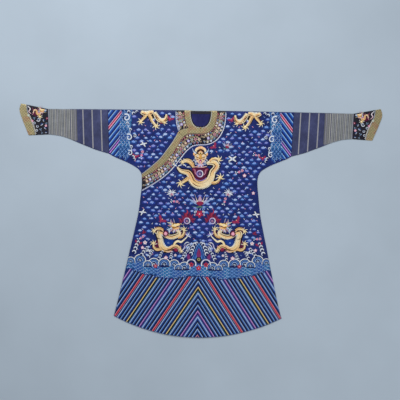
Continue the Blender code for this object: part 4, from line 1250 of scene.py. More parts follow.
def small_motif(kind):
    made = {
        "bat": bat,
        "lotus": lotus,
        "crossed": crossed_emblem,
        "white_flower": lambda: blossom(WHITE, PINK),
        "red_flower": lambda: blossom(CRIMSON, "#D05A6C"),
        "pink_flower": lambda: blossom(PINK, WHITE),
        "star_flower": star_flower,
        "rod": rod,
        "fan": fan_emblem,
        "flame": lambda: flame(CRIMSON),
        "pearl": pearl,
    }
    return made[kind]()


def emblems(behind):
    made = lotus().at(3, 549, 0, 2.0)
    for kind, x, down, turn, size in SMALL_MOTIFS:
        if not (behind and down < BACK_ONLY):
            made += small_motif(kind).at(x, down, turn, size, lift=0.6 if down > OVER_SEA else 0.0)
    return made + sparks(behind)


def sparks(behind):
    """Small bright knots between the clouds."""
    x, down = open_ground((38.0, 31.0), (7.0, 33.0), 6, behind)
    number = np.arange(len(x))
    made = Motif()
    for kind, dye in enumerate((WHITE, LILAC, PALE_BLUE, PINK)):
        knot = disc(0, 0, 2.6, dye, 0.4, steps=8) + disc(5, 3.5, 1.7, dye, 0.3, steps=7)
        chosen = (number * 3 + number // 4) % 4 == kind
        made += knot.at(x[chosen], down[chosen], 90 * number[chosen])
    return made


def dragons():
    rising = profile_dragon()
    made = chest_dragon().at(2, 339) + rising.at(-170, 757) + rising.at(174, 752, way=-1)
    return made + shoulder_dragon().at([-298, 298], 12, way=[1, -1])


# The clouds' dyes: lobes, curls and tail
CLOUD_DYES = (
    ("#86A0DA", "#4C74C2", "#2346AC"),
    ("#9CB0E2", "#5F82CC", "#1E409E"),
    ("#B6C8EC", "#7494D2", "#26529E"),
    ("#8A94D6", "#5A66B8", "#2A3E9E"),
    ("#7A9EDE", "#4272C2", "#1A4C9E"),
)
CLOUD_PITCH = (47.0, 24.5)

# Limits of the ground between the larger motifs, in millimetres: depths at its top and above the sea, margin
# at the side, and half width, middle depth and half height of the oval that the mountain fills
GROUND_TOP, SEA_TOP, GROUND_MARGIN = 13, 905, 18
ROCK_OVAL = (62, 872, 90)


def open_ground(pitch, first, clear, behind):
    """A staggered field of places over the ground, moved a little by sines, away from the larger motifs."""
    column, row = np.meshgrid(np.arange(-13, 14), np.arange(0, 38))
    x = first[0] + (column + 0.5 * (row % 2)) * pitch[0] + 4 * np.sin(1.7 * row + 2.3 * column)
    down = first[1] + row * pitch[1] + 4 * np.sin(2.9 * row + 1.3 * column)
    x, down = x.ravel(), down.ravel()
    keep = (down > GROUND_TOP) & (down < SEA_TOP - 0.1 * np.abs(x))
    keep &= np.abs(x) < side_half_width(down * MM) / MM - GROUND_MARGIN
    keep &= np.abs(x) < SLEEVE_WAVES[0] / MM + 4 - 0.05 * down
    half, front_deep, back_deep = (k / MM for k in NECK_RINGS["collar"])
    deep = back_deep if behind else front_deep
    keep &= (np.abs(x) / (half + 16)) ** 2.5 + (down / (deep + 11)) ** 2.5 > 1
    if not behind:
        low, high = (np.array([(-p[line][0], p[line][1]) for p in LAPEL]) / MM for line in (2, 0))
        low, high = (np.interp(-x, edge[:, 0], edge[:, 1]) for edge in (low, high))
        keep &= ~((x < 0) & (x > -362) & (down < low + 13) & (down > high - 13))
    x, down = x[keep], down[keep]
    drawn = dragons().joined()[0][::11]
    near = np.hypot((x[:, None] - drawn[:, 0]) / 1.2, down[:, None] - drawn[:, 1]).min(1)
    half, middle, high = ROCK_OVAL
    keep = (near > clear + 4) & (np.hypot(x / half, (down - middle) / high) > 1)
    for _, cx, cd, _, size in SMALL_MOTIFS + (("lotus", 0, 550, 0, 2.4),):
        keep &= np.hypot(x - cx, (down - cd) * 1.1) > clear + 13 * size
    return x[keep], down[keep]


def clouds(behind):
    x, down = open_ground(CLOUD_PITCH, (0.0, 20.0), 8, behind)
    number = np.arange(len(x))
    turn = 8 * np.sin(3.1 * number)
    size = 0.88 + 0.14 * np.sin(5.3 * number)
    way = np.where(np.sin(7.7 * number) > 0, 1, -1)
    made = Motif()
    for kind, dyes in enumerate(CLOUD_DYES):
        k = (number * 7 + number // 5) % len(CLOUD_DYES) == kind
        made += cloud(*dyes).at(x[k], down[k], turn[k], size[k], way[k])
    return made


# The calm water's dyes: ground, outer ring and inner ring of each wave
WATER_DYES = ((NAVY, "#6C9CDC", "#2C6CB4"), ("#0E2A78", "#2F84BC", "#A8C8EE"), (NAVY, "#2E62B8", "#8CB4E8"))
WATER_PITCH, WATER_ROW = 27.0, 9.6  # between waves and between rows, in millimetres


def calm_water(x, down, keep, spin, lift):
    """Calm waves at the places kept, in three mixes of dye by turns."""
    made = Motif()
    number = np.arange(len(x))
    for kind, dyes in enumerate(WATER_DYES):
        chosen = keep & ((number * 5 + number // 3) % 3 == kind)
        made += wave_scale(dyes).at(x[chosen], down[chosen], spin, lift=lift)
    return made


# Breaking waves: x, depth, size, and how far each lies over the last
BILLOWS = (
    (-408, 914, 0.8, 0.2), (-352, 905, 1.0, 0.1), (-304, 934, 0.8, 0.5), (-268, 926, 1.0, 0.3),
    (-206, 928, 1.05, 0.5), (-146, 930, 0.9, 0.2), (-120, 950, 0.7, 0.8), (-84, 946, 1.0, 0.7),
    (84, 946, 1.0, 0.7), (120, 950, 0.7, 0.8), (152, 928, 0.9, 0.2), (217, 925, 1.05, 0.5),
    (279, 922, 1.0, 0.3), (312, 930, 0.8, 0.5), (356, 902, 1.0, 0.1), (408, 912, 0.8, 0.2),
)

# Combs of spray on the wearer's right, mirrored to the left: x, depth, turn, size
COMBS = (
    (-99, 896, 10, 1.0), (-168, 894, -8, 0.75), (-238, 892, 6, 0.85), (-300, 884, 14, 0.8),
    (-343, 872, 16, 1.0), (-389, 858, 2, 1.2),
)


def waves():
    """The sea above the stripes: calm waves in staggered rows, breaking waves, spray and the rock."""
    made = Motif()
    for row in range(9):
        x = (np.arange(-19, 20) + 0.5 * (row % 2)) * WATER_PITCH
        down = 938 + WATER_ROW * row - 0.00018 * x**2
        keep = (np.abs(x) < side_half_width(down * MM) / MM - 10) & (down < stripes_top(x * MM) / MM + 12)
        made += calm_water(x, down, keep, 0.0, 0.07 * row)
    for x, down, size, lift in BILLOWS:
        made += billow().at(x, down, 0, size, lift=lift)
    for x, down, turn, size in COMBS:
        made += foam_stack().at(x, down, turn, size, 1, 0.5).both()
    return made + rock().at(1, 797, lift=0.5)


def stripes_top(x):
    return through(STRIPES_TOP, np.abs(x))


# A stripe's lines from above: dye, and share of the stripe's width
BLUE_STRIPES = (
    (("#B8CEF0", 0.22), ("#2C62AC", 0.24), ("#122C78", 0.24), (BLACK, 0.3)),
    (("#86AEE4", 0.22), ("#2450A0", 0.28), ("#0A1034", 0.5)),
    (("#A4C0EC", 0.24), ("#2456A4", 0.26), ("#0C1A50", 0.5)),
)
BRIGHT_STRIPES = (
    (("#D8A8E4", 0.2), ("#6A3C9A", 0.26), (NAVY, 0.28), ("#5878C0", 0.26)),
    (("#E89AA4", 0.16), ("#C01C38", 0.44), ("#8CA8C8", 0.1), (NAVY, 0.3)),
    (("#E6CC8C", 0.28), ("#0C0C0A", 0.44), ("#3A6A9A", 0.28)),
)
FIRST_BRIGHT = 0.337  # where the first bright stripe, if it ran on, would meet the centre line
STRIPE_MARGIN = 2 * MM  # between the stripes and the cloth's edges


def slanted(first, second, dye, slope, base=STITCH_REST):
    """One line of a stripe between two edges, each a start, an end and the depth at which it would meet the
    centre line: depth = that + slope x."""
    share = np.linspace(0, 1, 34)
    runs = [(start + (end - start) * share, apex) for start, end, apex in (first, second)]
    (xa, a), (xb, b) = [(x, apex + slope * x) for x, apex in runs]
    x = np.stack([xa, (xa + xb) / 2, xb], -1)
    depth = np.stack([a, (a + b) / 2, b], -1)
    points = np.stack([x / MM, depth / MM, base + 0.42 * np.array([0, 1, 0]) + 0 * x], -1).reshape(-1, 3)
    ids = np.arange(len(points)).reshape(-1, 3)
    # Painted shade: each stripe line is darker at its edges than in its middle
    dyes = np.tile(linear(dye) * np.array([[PAINTED_EDGE_SHADE], [1], [PAINTED_EDGE_SHADE]]), (len(share), 1))
    along = share[:, None] * np.hypot(1, slope) * (first[1] - first[0]) + 0 * x
    stitch = np.stack([along, 0 * along + np.array([-1, 0, 1]) * 3 * MM], -1).reshape(-1, 2)
    return Motif((points, grid_faces(ids), np.zeros((0, 3), int), dyes, stitch))


def stripe_field(stripes, first, pitch, slope, x, inside):
    """Stripes side by side at a pitch of depth, each of its own lines, where inside(x, depth) is true."""
    made = Motif()
    for number, lines in enumerate(stripes):
        apex = first + number * pitch
        edges = apex + pitch * np.cumsum([0] + [share for _, share in lines])
        spans = []
        for edge in edges:
            held = x[inside(x, edge + slope * x)]
            spans.append((held[0], held[-1], edge) if len(held) > 3 else None)
        for (dye, _), upper, lower in zip(lines, spans, spans[1:]):
            if upper and lower:
                made += slanted(upper, lower, dye, slope)
    return made


def hem_stripes():
    """The slanted stripes of one half: every fourth is bright, and the others are blue."""
    rows = []
    for bright in range(9):
        rows += [BRIGHT_STRIPES[bright % 3], *BLUE_STRIPES]

    def inside(x, depth):
        held = (depth > stripes_top(x)) & (depth < hem_depth(x) - STRIPE_MARGIN)
        return held & (x < side_half_width(depth) - STRIPE_MARGIN)

    x = np.linspace(0.0002, HEM_HALF_WIDTH, 1400)
    return stripe_field(rows, FIRST_BRIGHT, STRIPE_PITCH / 4, math.tan(STRIPE_ANGLE), x, inside)


NARROWEST_ROW = 8  # of the body's outline
UNDERARM_MARGIN = 6 * MM


def underarm_depth(x):
    """Depth at which embroidery under the arm ends, at a distance from the centre line: the body's outline
    from the sleeve's seam to its narrowest place, less a margin."""
    rows = np.array(BODY_OUTLINE)[:NARROWEST_ROW]
    return np.interp(-x, -rows[:, 1], rows[:, 0]) - UNDERARM_MARGIN


# On the sleeves: where spray stands (x, depth, turn, size) and where it curls (x, depth, size)
SLEEVE_CRESTS = (
    (433, 16, 30, 0.9), (404, 24, 60, 0.9), (384, 14, 60, 0.8), (440, 84, 20, 0.8), (421, 122, 10, 0.7),
    (416, 224, -10, 0.8), (404, 286, -30, 0.9), (396, 300, -40, 0.7),
)
SLEEVE_SWIRLS = ((447, 50, 1.2), (431, 168, 1.1), (396, 158, 0.6), (424, 262, 0.9))
SLEEVE_RIBBONS = (
    ((447, 66), (436, 96), (424, 128), (424, 146)),
    ((428, 190), (424, 214), (413, 240), (411, 262)),
)

# The sleeves' stripes: where the first would meet the centre line, their pitch, slope and lines
SLEEVE_FIRST, SLEEVE_PITCH = -0.7385, 0.0385
SLEEVE_ANGLE = math.radians(52.5)
SLEEVE_STRIPES_TOP, SLEEVE_STRIPES_FOOT = 0.006, 0.29  # depths at which the stripes are cut
SLEEVE_STRIPES_LEAN = 0.06  # how their edge by the sea leans away from it with depth
SLEEVE_BLUE = (("#9CC4F0", 0.2), ("#2C6AC4", 0.26), ("#123C98", 0.26), ("#0A1C5C", 0.28))
SLEEVE_RED = (("#C8C0E8", 0.16), ("#C02848", 0.32), ("#F4A8C4", 0.24), (NAVY, 0.28))
SLEEVE_LILAC = (("#A8C4F0", 0.16), (PLUM, 0.3), ("#CC8EE8", 0.26), (NAVY, 0.28))


def sleeve_stripes():
    """The stripes at the end of the body's own sleeve for the wearer's left, with the sea beside them: calm
    waves turned on their side, and spray along their crest."""
    start, end = SLEEVE_WAVES[1], SLEEVE_SEAM - STRIPE_MARGIN

    def inside(x, depth):
        held = (depth > SLEEVE_STRIPES_TOP) & (depth < np.minimum(underarm_depth(x), SLEEVE_STRIPES_FOOT))
        return held & (x > start + SLEEVE_STRIPES_LEAN * depth) & (x + SEAM_TILT * depth < end)

    rows = [SLEEVE_BLUE] * 3 + [SLEEVE_RED] + [SLEEVE_BLUE] * 3 + [SLEEVE_LILAC] + [SLEEVE_BLUE] * 4
    x = np.linspace(start - 0.01, end, 700)
    made = stripe_field(rows, SLEEVE_FIRST, SLEEVE_PITCH, math.tan(SLEEVE_ANGLE), x, inside)
    for column in range(6):
        down = 10 + (np.arange(11) + 0.5 * (column % 2)) * WATER_PITCH
        at = SLEEVE_WAVES[0] / MM + 18 + 11.0 * column + 0.05 * down
        keep = (down < underarm_depth(at * MM) / MM - 4) & (down > 4)
        made += calm_water(at, down, keep, -90.0, 0.42 - 0.07 * column)
    made += crest().at(*np.transpose(SLEEVE_CRESTS), way=-1, lift=0.6)
    swirl = disc(0, 0, 20, NAVY, 0.1, 0.45, 18)
    swirl += curl(19, 6.5, [WHITE, "#D4DEF2"], 1.15, 300, -1, 0.6, 26, 0.7)
    swirl += curl(25, 3, PALE_BLUE, 0.7, 300, -1, 0.5, 20, 0.4)
    for x, down, size in SLEEVE_SWIRLS:
        made += swirl.at(x, down, 0, size)
    for ribbon in SLEEVE_RIBBONS:
        made += strip(ribbon, [2, 5, 5, 2], [PALE_BLUE, WHITE], 0.6, 0.6, 22)
    return made


UNDERARM = 0.34  # depth below which the side seam, and not the sleeve, is the edge
CLOTH_EDGE = 1.2 * MM  # between any stitch and the edge of the cloth
CURVE_EDGE = 2 * MM  # the same under the arm, where the outline turns
CUFF_OVERLAP = 12 * MM  # motifs beyond the cuff's seam, less this, keep their depth


def on_cloth(x, depth):
    """Points drawn in to the cloth's own edge, where a motif would run past the side seam, the shoulder line
    or the sleeve's underside."""
    far = np.abs(x)
    skirt = depth > UNDERARM
    far = np.where(skirt, np.minimum(far, side_half_width(depth) - CLOTH_EDGE), far)
    top = SLEEVE_DROOP * (far / CUFF_SEAM) ** 2 + CLOTH_EDGE
    curve = underarm_depth(far) + UNDERARM_MARGIN - CURVE_EDGE
    foot = np.where(far > SLEEVE_UNDERSIDE[0][0], sleeve_underside(far) - CLOTH_EDGE, curve)
    free = skirt | (far > CUFF_SEAM - CUFF_OVERLAP)
    depth = np.where(free, depth, np.clip(depth, top, np.maximum(foot, top)))
    return np.copysign(far, x), depth


def drape(name, finish, motif, behind=False):
    """Lays embroidery on the cloth: each point's height is the cloth's, and its own above it. On the back it
    lies under the cloth, pressed nearly flat between it and the floor."""
    points, quads, tris, dyes, stitch = motif.joined()
    x, depth = on_cloth(*split(points * MM))
    if behind:
        z = BACK_LIFT - np.clip(points[:, 2] * 0.12, 0.03, 0.32) * MM
    else:
        z = visible_height(x, depth) + points[:, 2] * MM
    at = placed(x, depth, z)
    mesh = bpy.data.meshes.new(name)
    sides = np.repeat([4, 3], [len(quads), len(tris)])
    for faces in (quads, tris):
        a, b, c = (at[faces[:, k]] for k in (0, 1, 2))
        up = np.cross(b - a, c - a)[:, 2] > 0
        turned = up == behind
        faces[turned] = faces[turned][:, ::-1]
    corners = np.concatenate([quads.ravel(), tris.ravel()]).astype(np.int32)
    mesh.vertices.add(len(at))
    mesh.vertices.foreach_set("co", at.ravel())
    mesh.loops.add(len(corners))
    mesh.loops.foreach_set("vertex_index", corners)
    mesh.polygons.add(len(sides))
    mesh.polygons.foreach_set("loop_start", np.concatenate([[0], np.cumsum(sides)[:-1]]).astype(np.int32))
    mesh.polygons.foreach_set("use_smooth", np.ones(len(sides), bool))
    mesh.update(calc_edges=True)
    # Each point's dye, with the painted shade and highlights of strips and patches multiplied in
    colours = mesh.color_attributes.new("dye", "FLOAT_COLOR", "POINT")
    colours.data.foreach_set("color", np.concatenate([dyes, np.ones((len(dyes), 1))], 1).ravel())
    mesh.uv_layers.new(name="Stitch").uv.foreach_set("vector", stitch[corners].astype(np.float32).ravel())
    mesh.materials.append(finish)
    made = bpy.data.objects.new(name, mesh)
    bpy.context.scene.collection.objects.link(made)
    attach(made, BODY)
    return made


def band_line(share, behind, count=60):
    """x and depth along the collar, at a share of its width, from the fold to the centre."""
    turn = np.radians(np.linspace(2, 90, count))
    inner, outer = (ring_point(ring, turn, behind) for ring in ("binding", "collar"))
    return inner + (outer - inner) * share


def lapel_line(share):
    """x and depth along the lapel's band, at a share of its width."""
    lines = lapel_lines()
    return lines[1] + (lines[2] - lines[1]) * share


def spaced(line, spacing, first=0.5):
    """Places at an even spacing along a line of points, with the turn of what stands across it."""
    run = run_length(line)
    at = np.arange(first * spacing, run[-1] - 0.3 * spacing, spacing)
    x, depth = (np.interp(at, run, axis) for axis in line.T)
    dx, dd = (np.interp(at, run, axis) for axis in np.gradient(line, axis=0).T)
    return np.stack([x, depth, np.degrees(np.arctan2(dd, dx))], -1)


# The dyes of the bands' flowers, outer and inner petals
BAND_FLOWERS = (
    (CREAM, CRIMSON),
    ("#E09AAE", MAROON),
    ("#C9C4A0", TEAL),
    (LILAC, "#DDE4EE"),
    ("#C08A7C", CREAM),
)


def band_pattern(line_at, keep=None, size=1.0):
    """Flowers between gold scrolls along a band's middle, leaves and buds on both sides of them, and small
    waves along its outer edge. Where keep(x, depth) is false, nothing is laid."""
    made = Motif()

    def lay(motif, share, spacing, first, turn=0.0, scale=1.0):
        found = spaced(line_at(share), spacing * MM, first)
        if keep is not None:
            found = found[keep(*split(found))]
        x, down, way = found.T
        return motif.at(x / MM, down / MM, way + turn, scale * size)

    step, count = 22.0, len(BAND_FLOWERS)
    for number, (first_dye, second_dye) in enumerate(BAND_FLOWERS):
        made += lay(blossom(first_dye, second_dye, 10.5), 0.5, step * count, (number + 0.35) / count)
        bud = petals(5, 6, 5, second_dye, 0.2, 0, first_dye)
        made += lay(bud, 0.16, step * count * 0.8, (number + 0.6) / count)
        made += lay(bud, 0.8, step * count, (number + 0.85) / count, scale=1.1)
    scroll = curl(7, 2.4, ["#E8DEC0", TAN], 1.2, 200, 1)
    scroll += curl(6.5, 2.2, ["#A8745A", CREAM], 1.2, 340, -1).at(12, 4)
    made += lay(scroll, 0.3, step, 0.85) + lay(scroll, 0.68, step, 0.3, 180, 0.8)
    leaf = petals(3, 8, 5, TURQUOISE, 0.15, -60) + disc(0, 0, 2, PINK, 0.3, 0.5, 8)
    made += lay(leaf, 0.76, step, 0.55, 180)
    wave = arc_ring(6, 2.4, WHITE, 180, 360, steps=9) + arc_ring(3.2, 2.4, LILAC, 180, 360, steps=8)
    made += lay(wave, 0.94, 12.0, 0.5)
    berry = disc(0, 0, 2.2, RED, 0.4, steps=8) + disc(5.5, 1.5, 2, CREAM, 0.4, steps=8)
    return made + lay(berry, 0.08, 12.0, 0.3)


# On a cuff: x, depth, turn and size of its scrolls, dashes and leaves, and x, depth and dye of its flowers
CUFF_SWIRLS = (
    (975, 70, 0, 1.15), (944, 74, 70, 0.8), (1001, 62, 120, 0.75), (1000, 92, 200, 0.85),
    (955, 98, 250, 0.95), (928, 92, 30, 0.7), (980, 110, 300, 0.8), (934, 120, 90, 0.85),
    (961, 128, 10, 0.8), (985, 136, 160, 0.75), (929, 146, 220, 0.65), (953, 149, 330, 0.6),
)
CUFF_BLOOMS = (
    (1012, 78, "#E08AAE"),
    (924, 62, CRIMSON),
    (930, 106, PINK),
    (936, 14, PALE_BLUE),
    (1036, 46, "#B9C4B0"),
)


def cuff_spray():
    """Two slanted dashes of foam."""
    made = strip([(-9, 4), (0, -4), (8, -5)], [2, 6, 2], [WHITE, "#7C98CC"], 0.4, 0.2, 12)
    return made + strip([(-5, 9), (3, 3), (9, 4)], [1, 4, 1], MID_BLUE, 0.3, 0.2, 10)


def cuff_leaf():
    """Three short leaves of grey-green and blue."""
    return petals(3, 11, 7, "#8FA4B4", 0.2, -50) + petals(2, 8, 5, "#4A70B0", 0.3, 120)


def cuff_pattern():
    """The cuff of the wearer's left sleeve: a running dragon and a ribbon over scrolls and spray."""
    made = cuff_dragon().at(974, 28, 0, 0.95, -1)
    swirl = curl(10, 4, [WHITE, "#8FA6D4"], 1.3, 20, 1, 0.2, 22, 0.4) + disc(2, 1, 3, NAVY, 0.2, 0.4, 8)
    for number, (x, down, turn, size) in enumerate(CUFF_SWIRLS):
        motif = (swirl, cuff_spray(), cuff_leaf())[number % 3]
        made += motif.at(x, down, turn, size, 1 - 2 * (number % 2))
    ribbon = [(1042, -12), (1026, 6), (1034, 22), (1020, 36)]
    made += strip(ribbon, [3, 7, 6, 3], [WHITE, "#E8B4C0"], 0.4, 0.2, 24)
    made += strip([(1014, -2), (1004, 22), (1012, 42)], [2, 7, 2], [CRIMSON, "#D89AA8"], 0.4, 0.2, 20)
    for x, down, _ in spaced(cuff_line(np.linspace(0.3, 0.97, 30), 1), 8 * MM):
        made += disc(x / MM - 7, down / MM, 2.2, CREAM, 0.5, 0.15, 8)
    for x, down, dye in CUFF_BLOOMS:
        made += petals(5, 8, 6.5, dye, 0.3, 15, WHITE).at(x, down)
    return made


def cord_line(line, width, dye=("#C4D0E0", WHITE, "#C4D0E0")):
    """A cord sewn down along a line: a strip that stands up high, in dyes that run along it."""
    steps = max(24, len(line))
    return strip(line[:: max(1, len(line) // 60)] / MM, width, list(dye), 1.5, 0.05, steps)


def ground_cords(width, behind=False):
    """White cords along the outer edge of the collar and the lapel, and finer ones along the seams. On the
    front, two more go round the neck, the inner one black."""
    turn = np.radians(np.linspace(1, 90, 60))
    collar, neck = ring_point("collar", turn, behind), ring_point("opening", turn, behind, 0.0015)
    made = cord_line(collar, width)
    seam = cuff_line(np.linspace(0.01, 0.99, 40), 1)
    cuffs = cord_line(seam - (0.003, 0), 2.6)
    if behind:
        return (made + cuffs).both()
    rim = ring_point("opening", turn, behind, 0.0065)
    inner = Motif()
    for side in (1, -1):
        inner += cord_line(neck * (side, 1), 4.6, (BLACK,)) + cord_line(rim * (side, 1), 2.2)
    above = collar * (-1, 1)
    above = above[above_lapel(*split(above)) > 0.004]
    lapel = lapel_lines()
    made += cord_line(lapel[2][1:], width) + cord_line(lapel[0][10:] + (0.001, 0.0015), 2.2)
    return made + cord_line(above, width) + inner + cuffs.both()


# Lines across the plain sleeve: distance of each from the centre line on the shoulder line, width, dye
SLEEVE_LINES = (
    (0.601, 7.0, "#A4A3A8"),
    (0.655, 7.0, "#A4A3A8"),
    (0.710, 7.0, "#A4A3A8"),
    (0.766, 38.0, "#74757A"),
    (0.757, 3.5, "#9C98A8"),
    (0.770, 3.0, "#8E8E8C"),
    (0.781, 5.0, "#B4B2AE"),
)
# Painted shade in the ribs' grooves, and painted highlights on their crowns
GROOVE_SHADE_DYES = ("#5E6066", "#6A6A6A", "#54565E", "#66645F")
CROWN_HIGHLIGHT_DYES = ("#A6A49C", "#94968F", "#9C9AA0", "#B0ADA2", "#8E9194")


def cross_line(seam, width, dye, height, base):
    """A line of stitches down the sleeve, at a distance from the centre line."""
    line = sleeve_line(seam, np.linspace(0.012, 0.988, 40))
    return strip(line[::3] / MM, width, dye, height, base, 40)


def sleeve_lines():
    """Pale lines of couched silk across the plain sleeve, a grey band by the ribs, and a line along each
    seam."""
    made = Motif()
    for number, (seam, width, dye) in enumerate(SLEEVE_LINES):
        made += cross_line(seam, width, dye, 0.35 if width < 10 else 0.1, 0.12 + 0.03 * number)
    for seam in (SLEEVE_SEAM, RIBBED_SEAM, CUFF_SEAM):
        made += cross_line(seam, 2.2, NAVY, 0.5, 0.0)
    return made.both()


def rib_lines():
    """Each rib's paler crown, a painted highlight, and the dark groove before it, painted shade."""
    made = Motif()
    pitch = (CUFF_SEAM - RIBBED_SEAM) / RIBS
    for number in range(RIBS):
        groove = RIBBED_SEAM + number * pitch
        if number:
            # The groove's painted shade, then the crown's painted highlight
            made += cross_line(groove, 3.6, GROOVE_SHADE_DYES[number % 4], 0.1, 0.12)
        made += cross_line(groove + pitch / 2, 3.4, CROWN_HIGHLIGHT_DYES[number % 5], 0.15, 0.85)
    return made.both()


def add(tree, kind, inputs=None, **settings):
    """Adds a node, sets its properties and sockets, and links any socket given as another node's output."""
    node = tree.nodes.new(kind)
    for key, value in settings.items():
        setattr(node, key, value)
    for key, value in (inputs or {}).items():
        if isinstance(value, bpy.types.NodeSocket):
            tree.links.new(value, node.inputs[key])
        else:
            node.inputs[key].default_value = value
    return node


def new_material(name, roughness, metallic=0.0, sheen=0.0, gloss=0.16):
    """A material with a Principled shader, and the place of each point as Object coordinates."""
    made = bpy.data.materials.new(name)
    made.use_nodes = True
    shader = made.node_tree.nodes["Principled BSDF"]
    shader.inputs["Roughness"].default_value = roughness
    shader.inputs["Metallic"].default_value = metallic
    shader.inputs["Sheen Weight"].default_value = sheen
    shader.inputs["Sheen Roughness"].default_value = 0.4
    shader.inputs["Specular IOR Level"].default_value = gloss
    tree = made.node_tree
    return made, tree, shader, add(tree, "ShaderNodeTexCoord").outputs["Object"]


def ramp(tree, factor, stops):
    """A colour ramp through places and linear colours."""
    node = add(tree, "ShaderNodeValToRGB", {"Fac": factor})
    elements = node.color_ramp.elements
    while len(elements) < len(stops):
        elements.new(0.5)
    for element, (place, colour) in zip(elements, stops):
        element.position = place
        element.color = (*colour, 1)
    return node.outputs["Color"]


def noise(tree, at, scale, detail=2.0, roughness=0.5):
    """Noise through space, as a factor from 0 to 1."""
    inputs = {"Vector": at, "Scale": scale, "Detail": detail, "Roughness": roughness}
    return add(tree, "ShaderNodeTexNoise", inputs).outputs["Fac"]


def paint(tree, shader, colour):
    tree.links.new(colour, shader.inputs["Base Color"])


def shaded(tree, colour, factor, low, high, dark, bright):
    """A colour multiplied by dark where a factor is low, and by bright where it is high."""
    inputs = {"Value": factor, "From Min": low, "From Max": high, "To Min": dark, "To Max": bright}
    level = add(tree, "ShaderNodeMapRange", inputs).outputs[0]
    return add(tree, "ShaderNodeVectorMath", {0: colour, 1: level}, operation="MULTIPLY").outputs[0]


def bands(tree, at, pitch, direction, uneven):
    """Sine waves at a pitch in metres along one axis."""
    scale = 2 * math.pi / (20 * pitch)
    inputs = {"Vector": at, "Scale": scale, "Distortion": uneven}
    return add(tree, "ShaderNodeTexWave", inputs, bands_direction=direction).outputs["Fac"]


def weave(tree, at, pitch_x, pitch_y, uneven):
    """Threads along both axes, as the product of their waves. The pitches are in millimetres."""
    inputs = {0: bands(tree, at, pitch_x * MM, "X", uneven), 1: bands(tree, at, pitch_y * MM, "Y", uneven)}
    return add(tree, "ShaderNodeMath", inputs, operation="MULTIPLY").outputs[0]


def bump(tree, shader, height, strength, distance):
    inputs = {"Height": height, "Strength": strength, "Distance": distance}
    tree.links.new(add(tree, "ShaderNodeBump", inputs).outputs[0], shader.inputs["Normal"])


def silk_satin(name, colour, roughness=0.42):
    """Silk satin, woven with long floats: a broad soft shine with hardly any grain, and dye that has faded
    unevenly with age. Threads 0.2 mm apart are drawn at 1 mm so that they show."""
    made, tree, shader, at = new_material(name, roughness, sheen=0.06)
    colour = np.array(colour)
    fade = noise(tree, at, 11.0, 6.0, 0.65)
    drawn = add(tree, "ShaderNodeMapping", {"Vector": at, "Scale": (700.0, 60.0, 60.0)}).outputs[0]
    slub = noise(tree, drawn, 1.0)
    mixed = add(tree, "ShaderNodeMix", {"Factor": 0.4, "A": fade, "B": slub}).outputs[0]
    stops = [(0.34, colour * 0.62), (0.5, colour), (0.66, np.minimum(colour * 1.5 + 0.01, 1))]
    paint(tree, shader, ramp(tree, mixed, stops))
    bump(tree, shader, weave(tree, at, 1.0, 1.0, 0.4), 0.3, 0.06 * MM)
    return made


def ribbed_silk(name, colour):
    """Ribbed silk, woven with a thick cord under each rib, its tone uneven at random. The paler crowns are
    painted highlights, laid on by rib_lines.
    """
    made, tree, shader, at = new_material(name, 0.5, sheen=0.08)
    colour = np.array(colour)
    stops = [(0.3, colour * 0.72), (0.5, colour), (0.7, np.minimum(colour * 1.3, 1))]
    paint(tree, shader, ramp(tree, noise(tree, at, 26.0, 5.0), stops))
    bump(tree, shader, weave(tree, at, 1.6, 1.0, 0.3), 0.45, 0.12 * MM)
    return made


def gold_brocade(name, colour):
    """Brocade with flat gilt threads in a silk ground: a dull metal gleam in a lattice of small blooms about
    17 mm apart, worn through to olive silk between them."""
    made, tree, shader, at = new_material(name, 0.42, metallic=0.4)
    colour = np.array(colour)
    turned = add(tree, "ShaderNodeMapping", {"Vector": at, "Rotation": (0, 0, math.radians(45))}).outputs[0]
    lattice = weave(tree, turned, 12, 12, 0.8)
    cells = {"Vector": turned, "Scale": 170.0, "Randomness": 0.6}
    flecks = add(tree, "ShaderNodeTexVoronoi", cells, feature="DISTANCE_TO_EDGE").outputs["Distance"]
    flecks = add(tree, "ShaderNodeMath", {0: flecks, 1: 3.2}, operation="MULTIPLY", use_clamp=True).outputs[0]
    pattern = add(tree, "ShaderNodeMix", {"Factor": 0.5, "A": lattice, "B": flecks}).outputs[0]
    stops = [(0.36, colour), (0.5, colour * 1.12), (0.64, linear("#A68668"))]
    rubbed = ramp(tree, noise(tree, at, 24.0, 5.0), stops)
    paint(tree, shader, shaded(tree, rubbed, pattern, 0.1, 0.9, 0.62, 1.5))
    bump(tree, shader, pattern, 0.5, 0.25 * MM)
    return made


def thread(name, metallic, roughness, sheen):
    """Embroidery thread, silk floss or silk wrapped in gilt paper: it shines along its stitches, which lie
    side by side across each shape. They are drawn 0.9 mm apart, twice their real spacing, so that they show.
    The colour is each point's own dye, with painted shade and highlights in it, a little uneven."""
    made, tree, shader, at = new_material(name, roughness, metallic, sheen)
    dye = add(tree, "ShaderNodeAttribute", attribute_name="dye").outputs["Color"]
    along = add(tree, "ShaderNodeUVMap", uv_map="Stitch").outputs[0]
    ridges = bands(tree, along, 0.9 * MM, "X", 0.5)
    paint(tree, shader, shaded(tree, dye, noise(tree, at, 190.0, 3.0), 0.3, 0.7, 0.82, 1.15))
    bump(tree, shader, ridges, 0.45, 0.15 * MM)
    return made


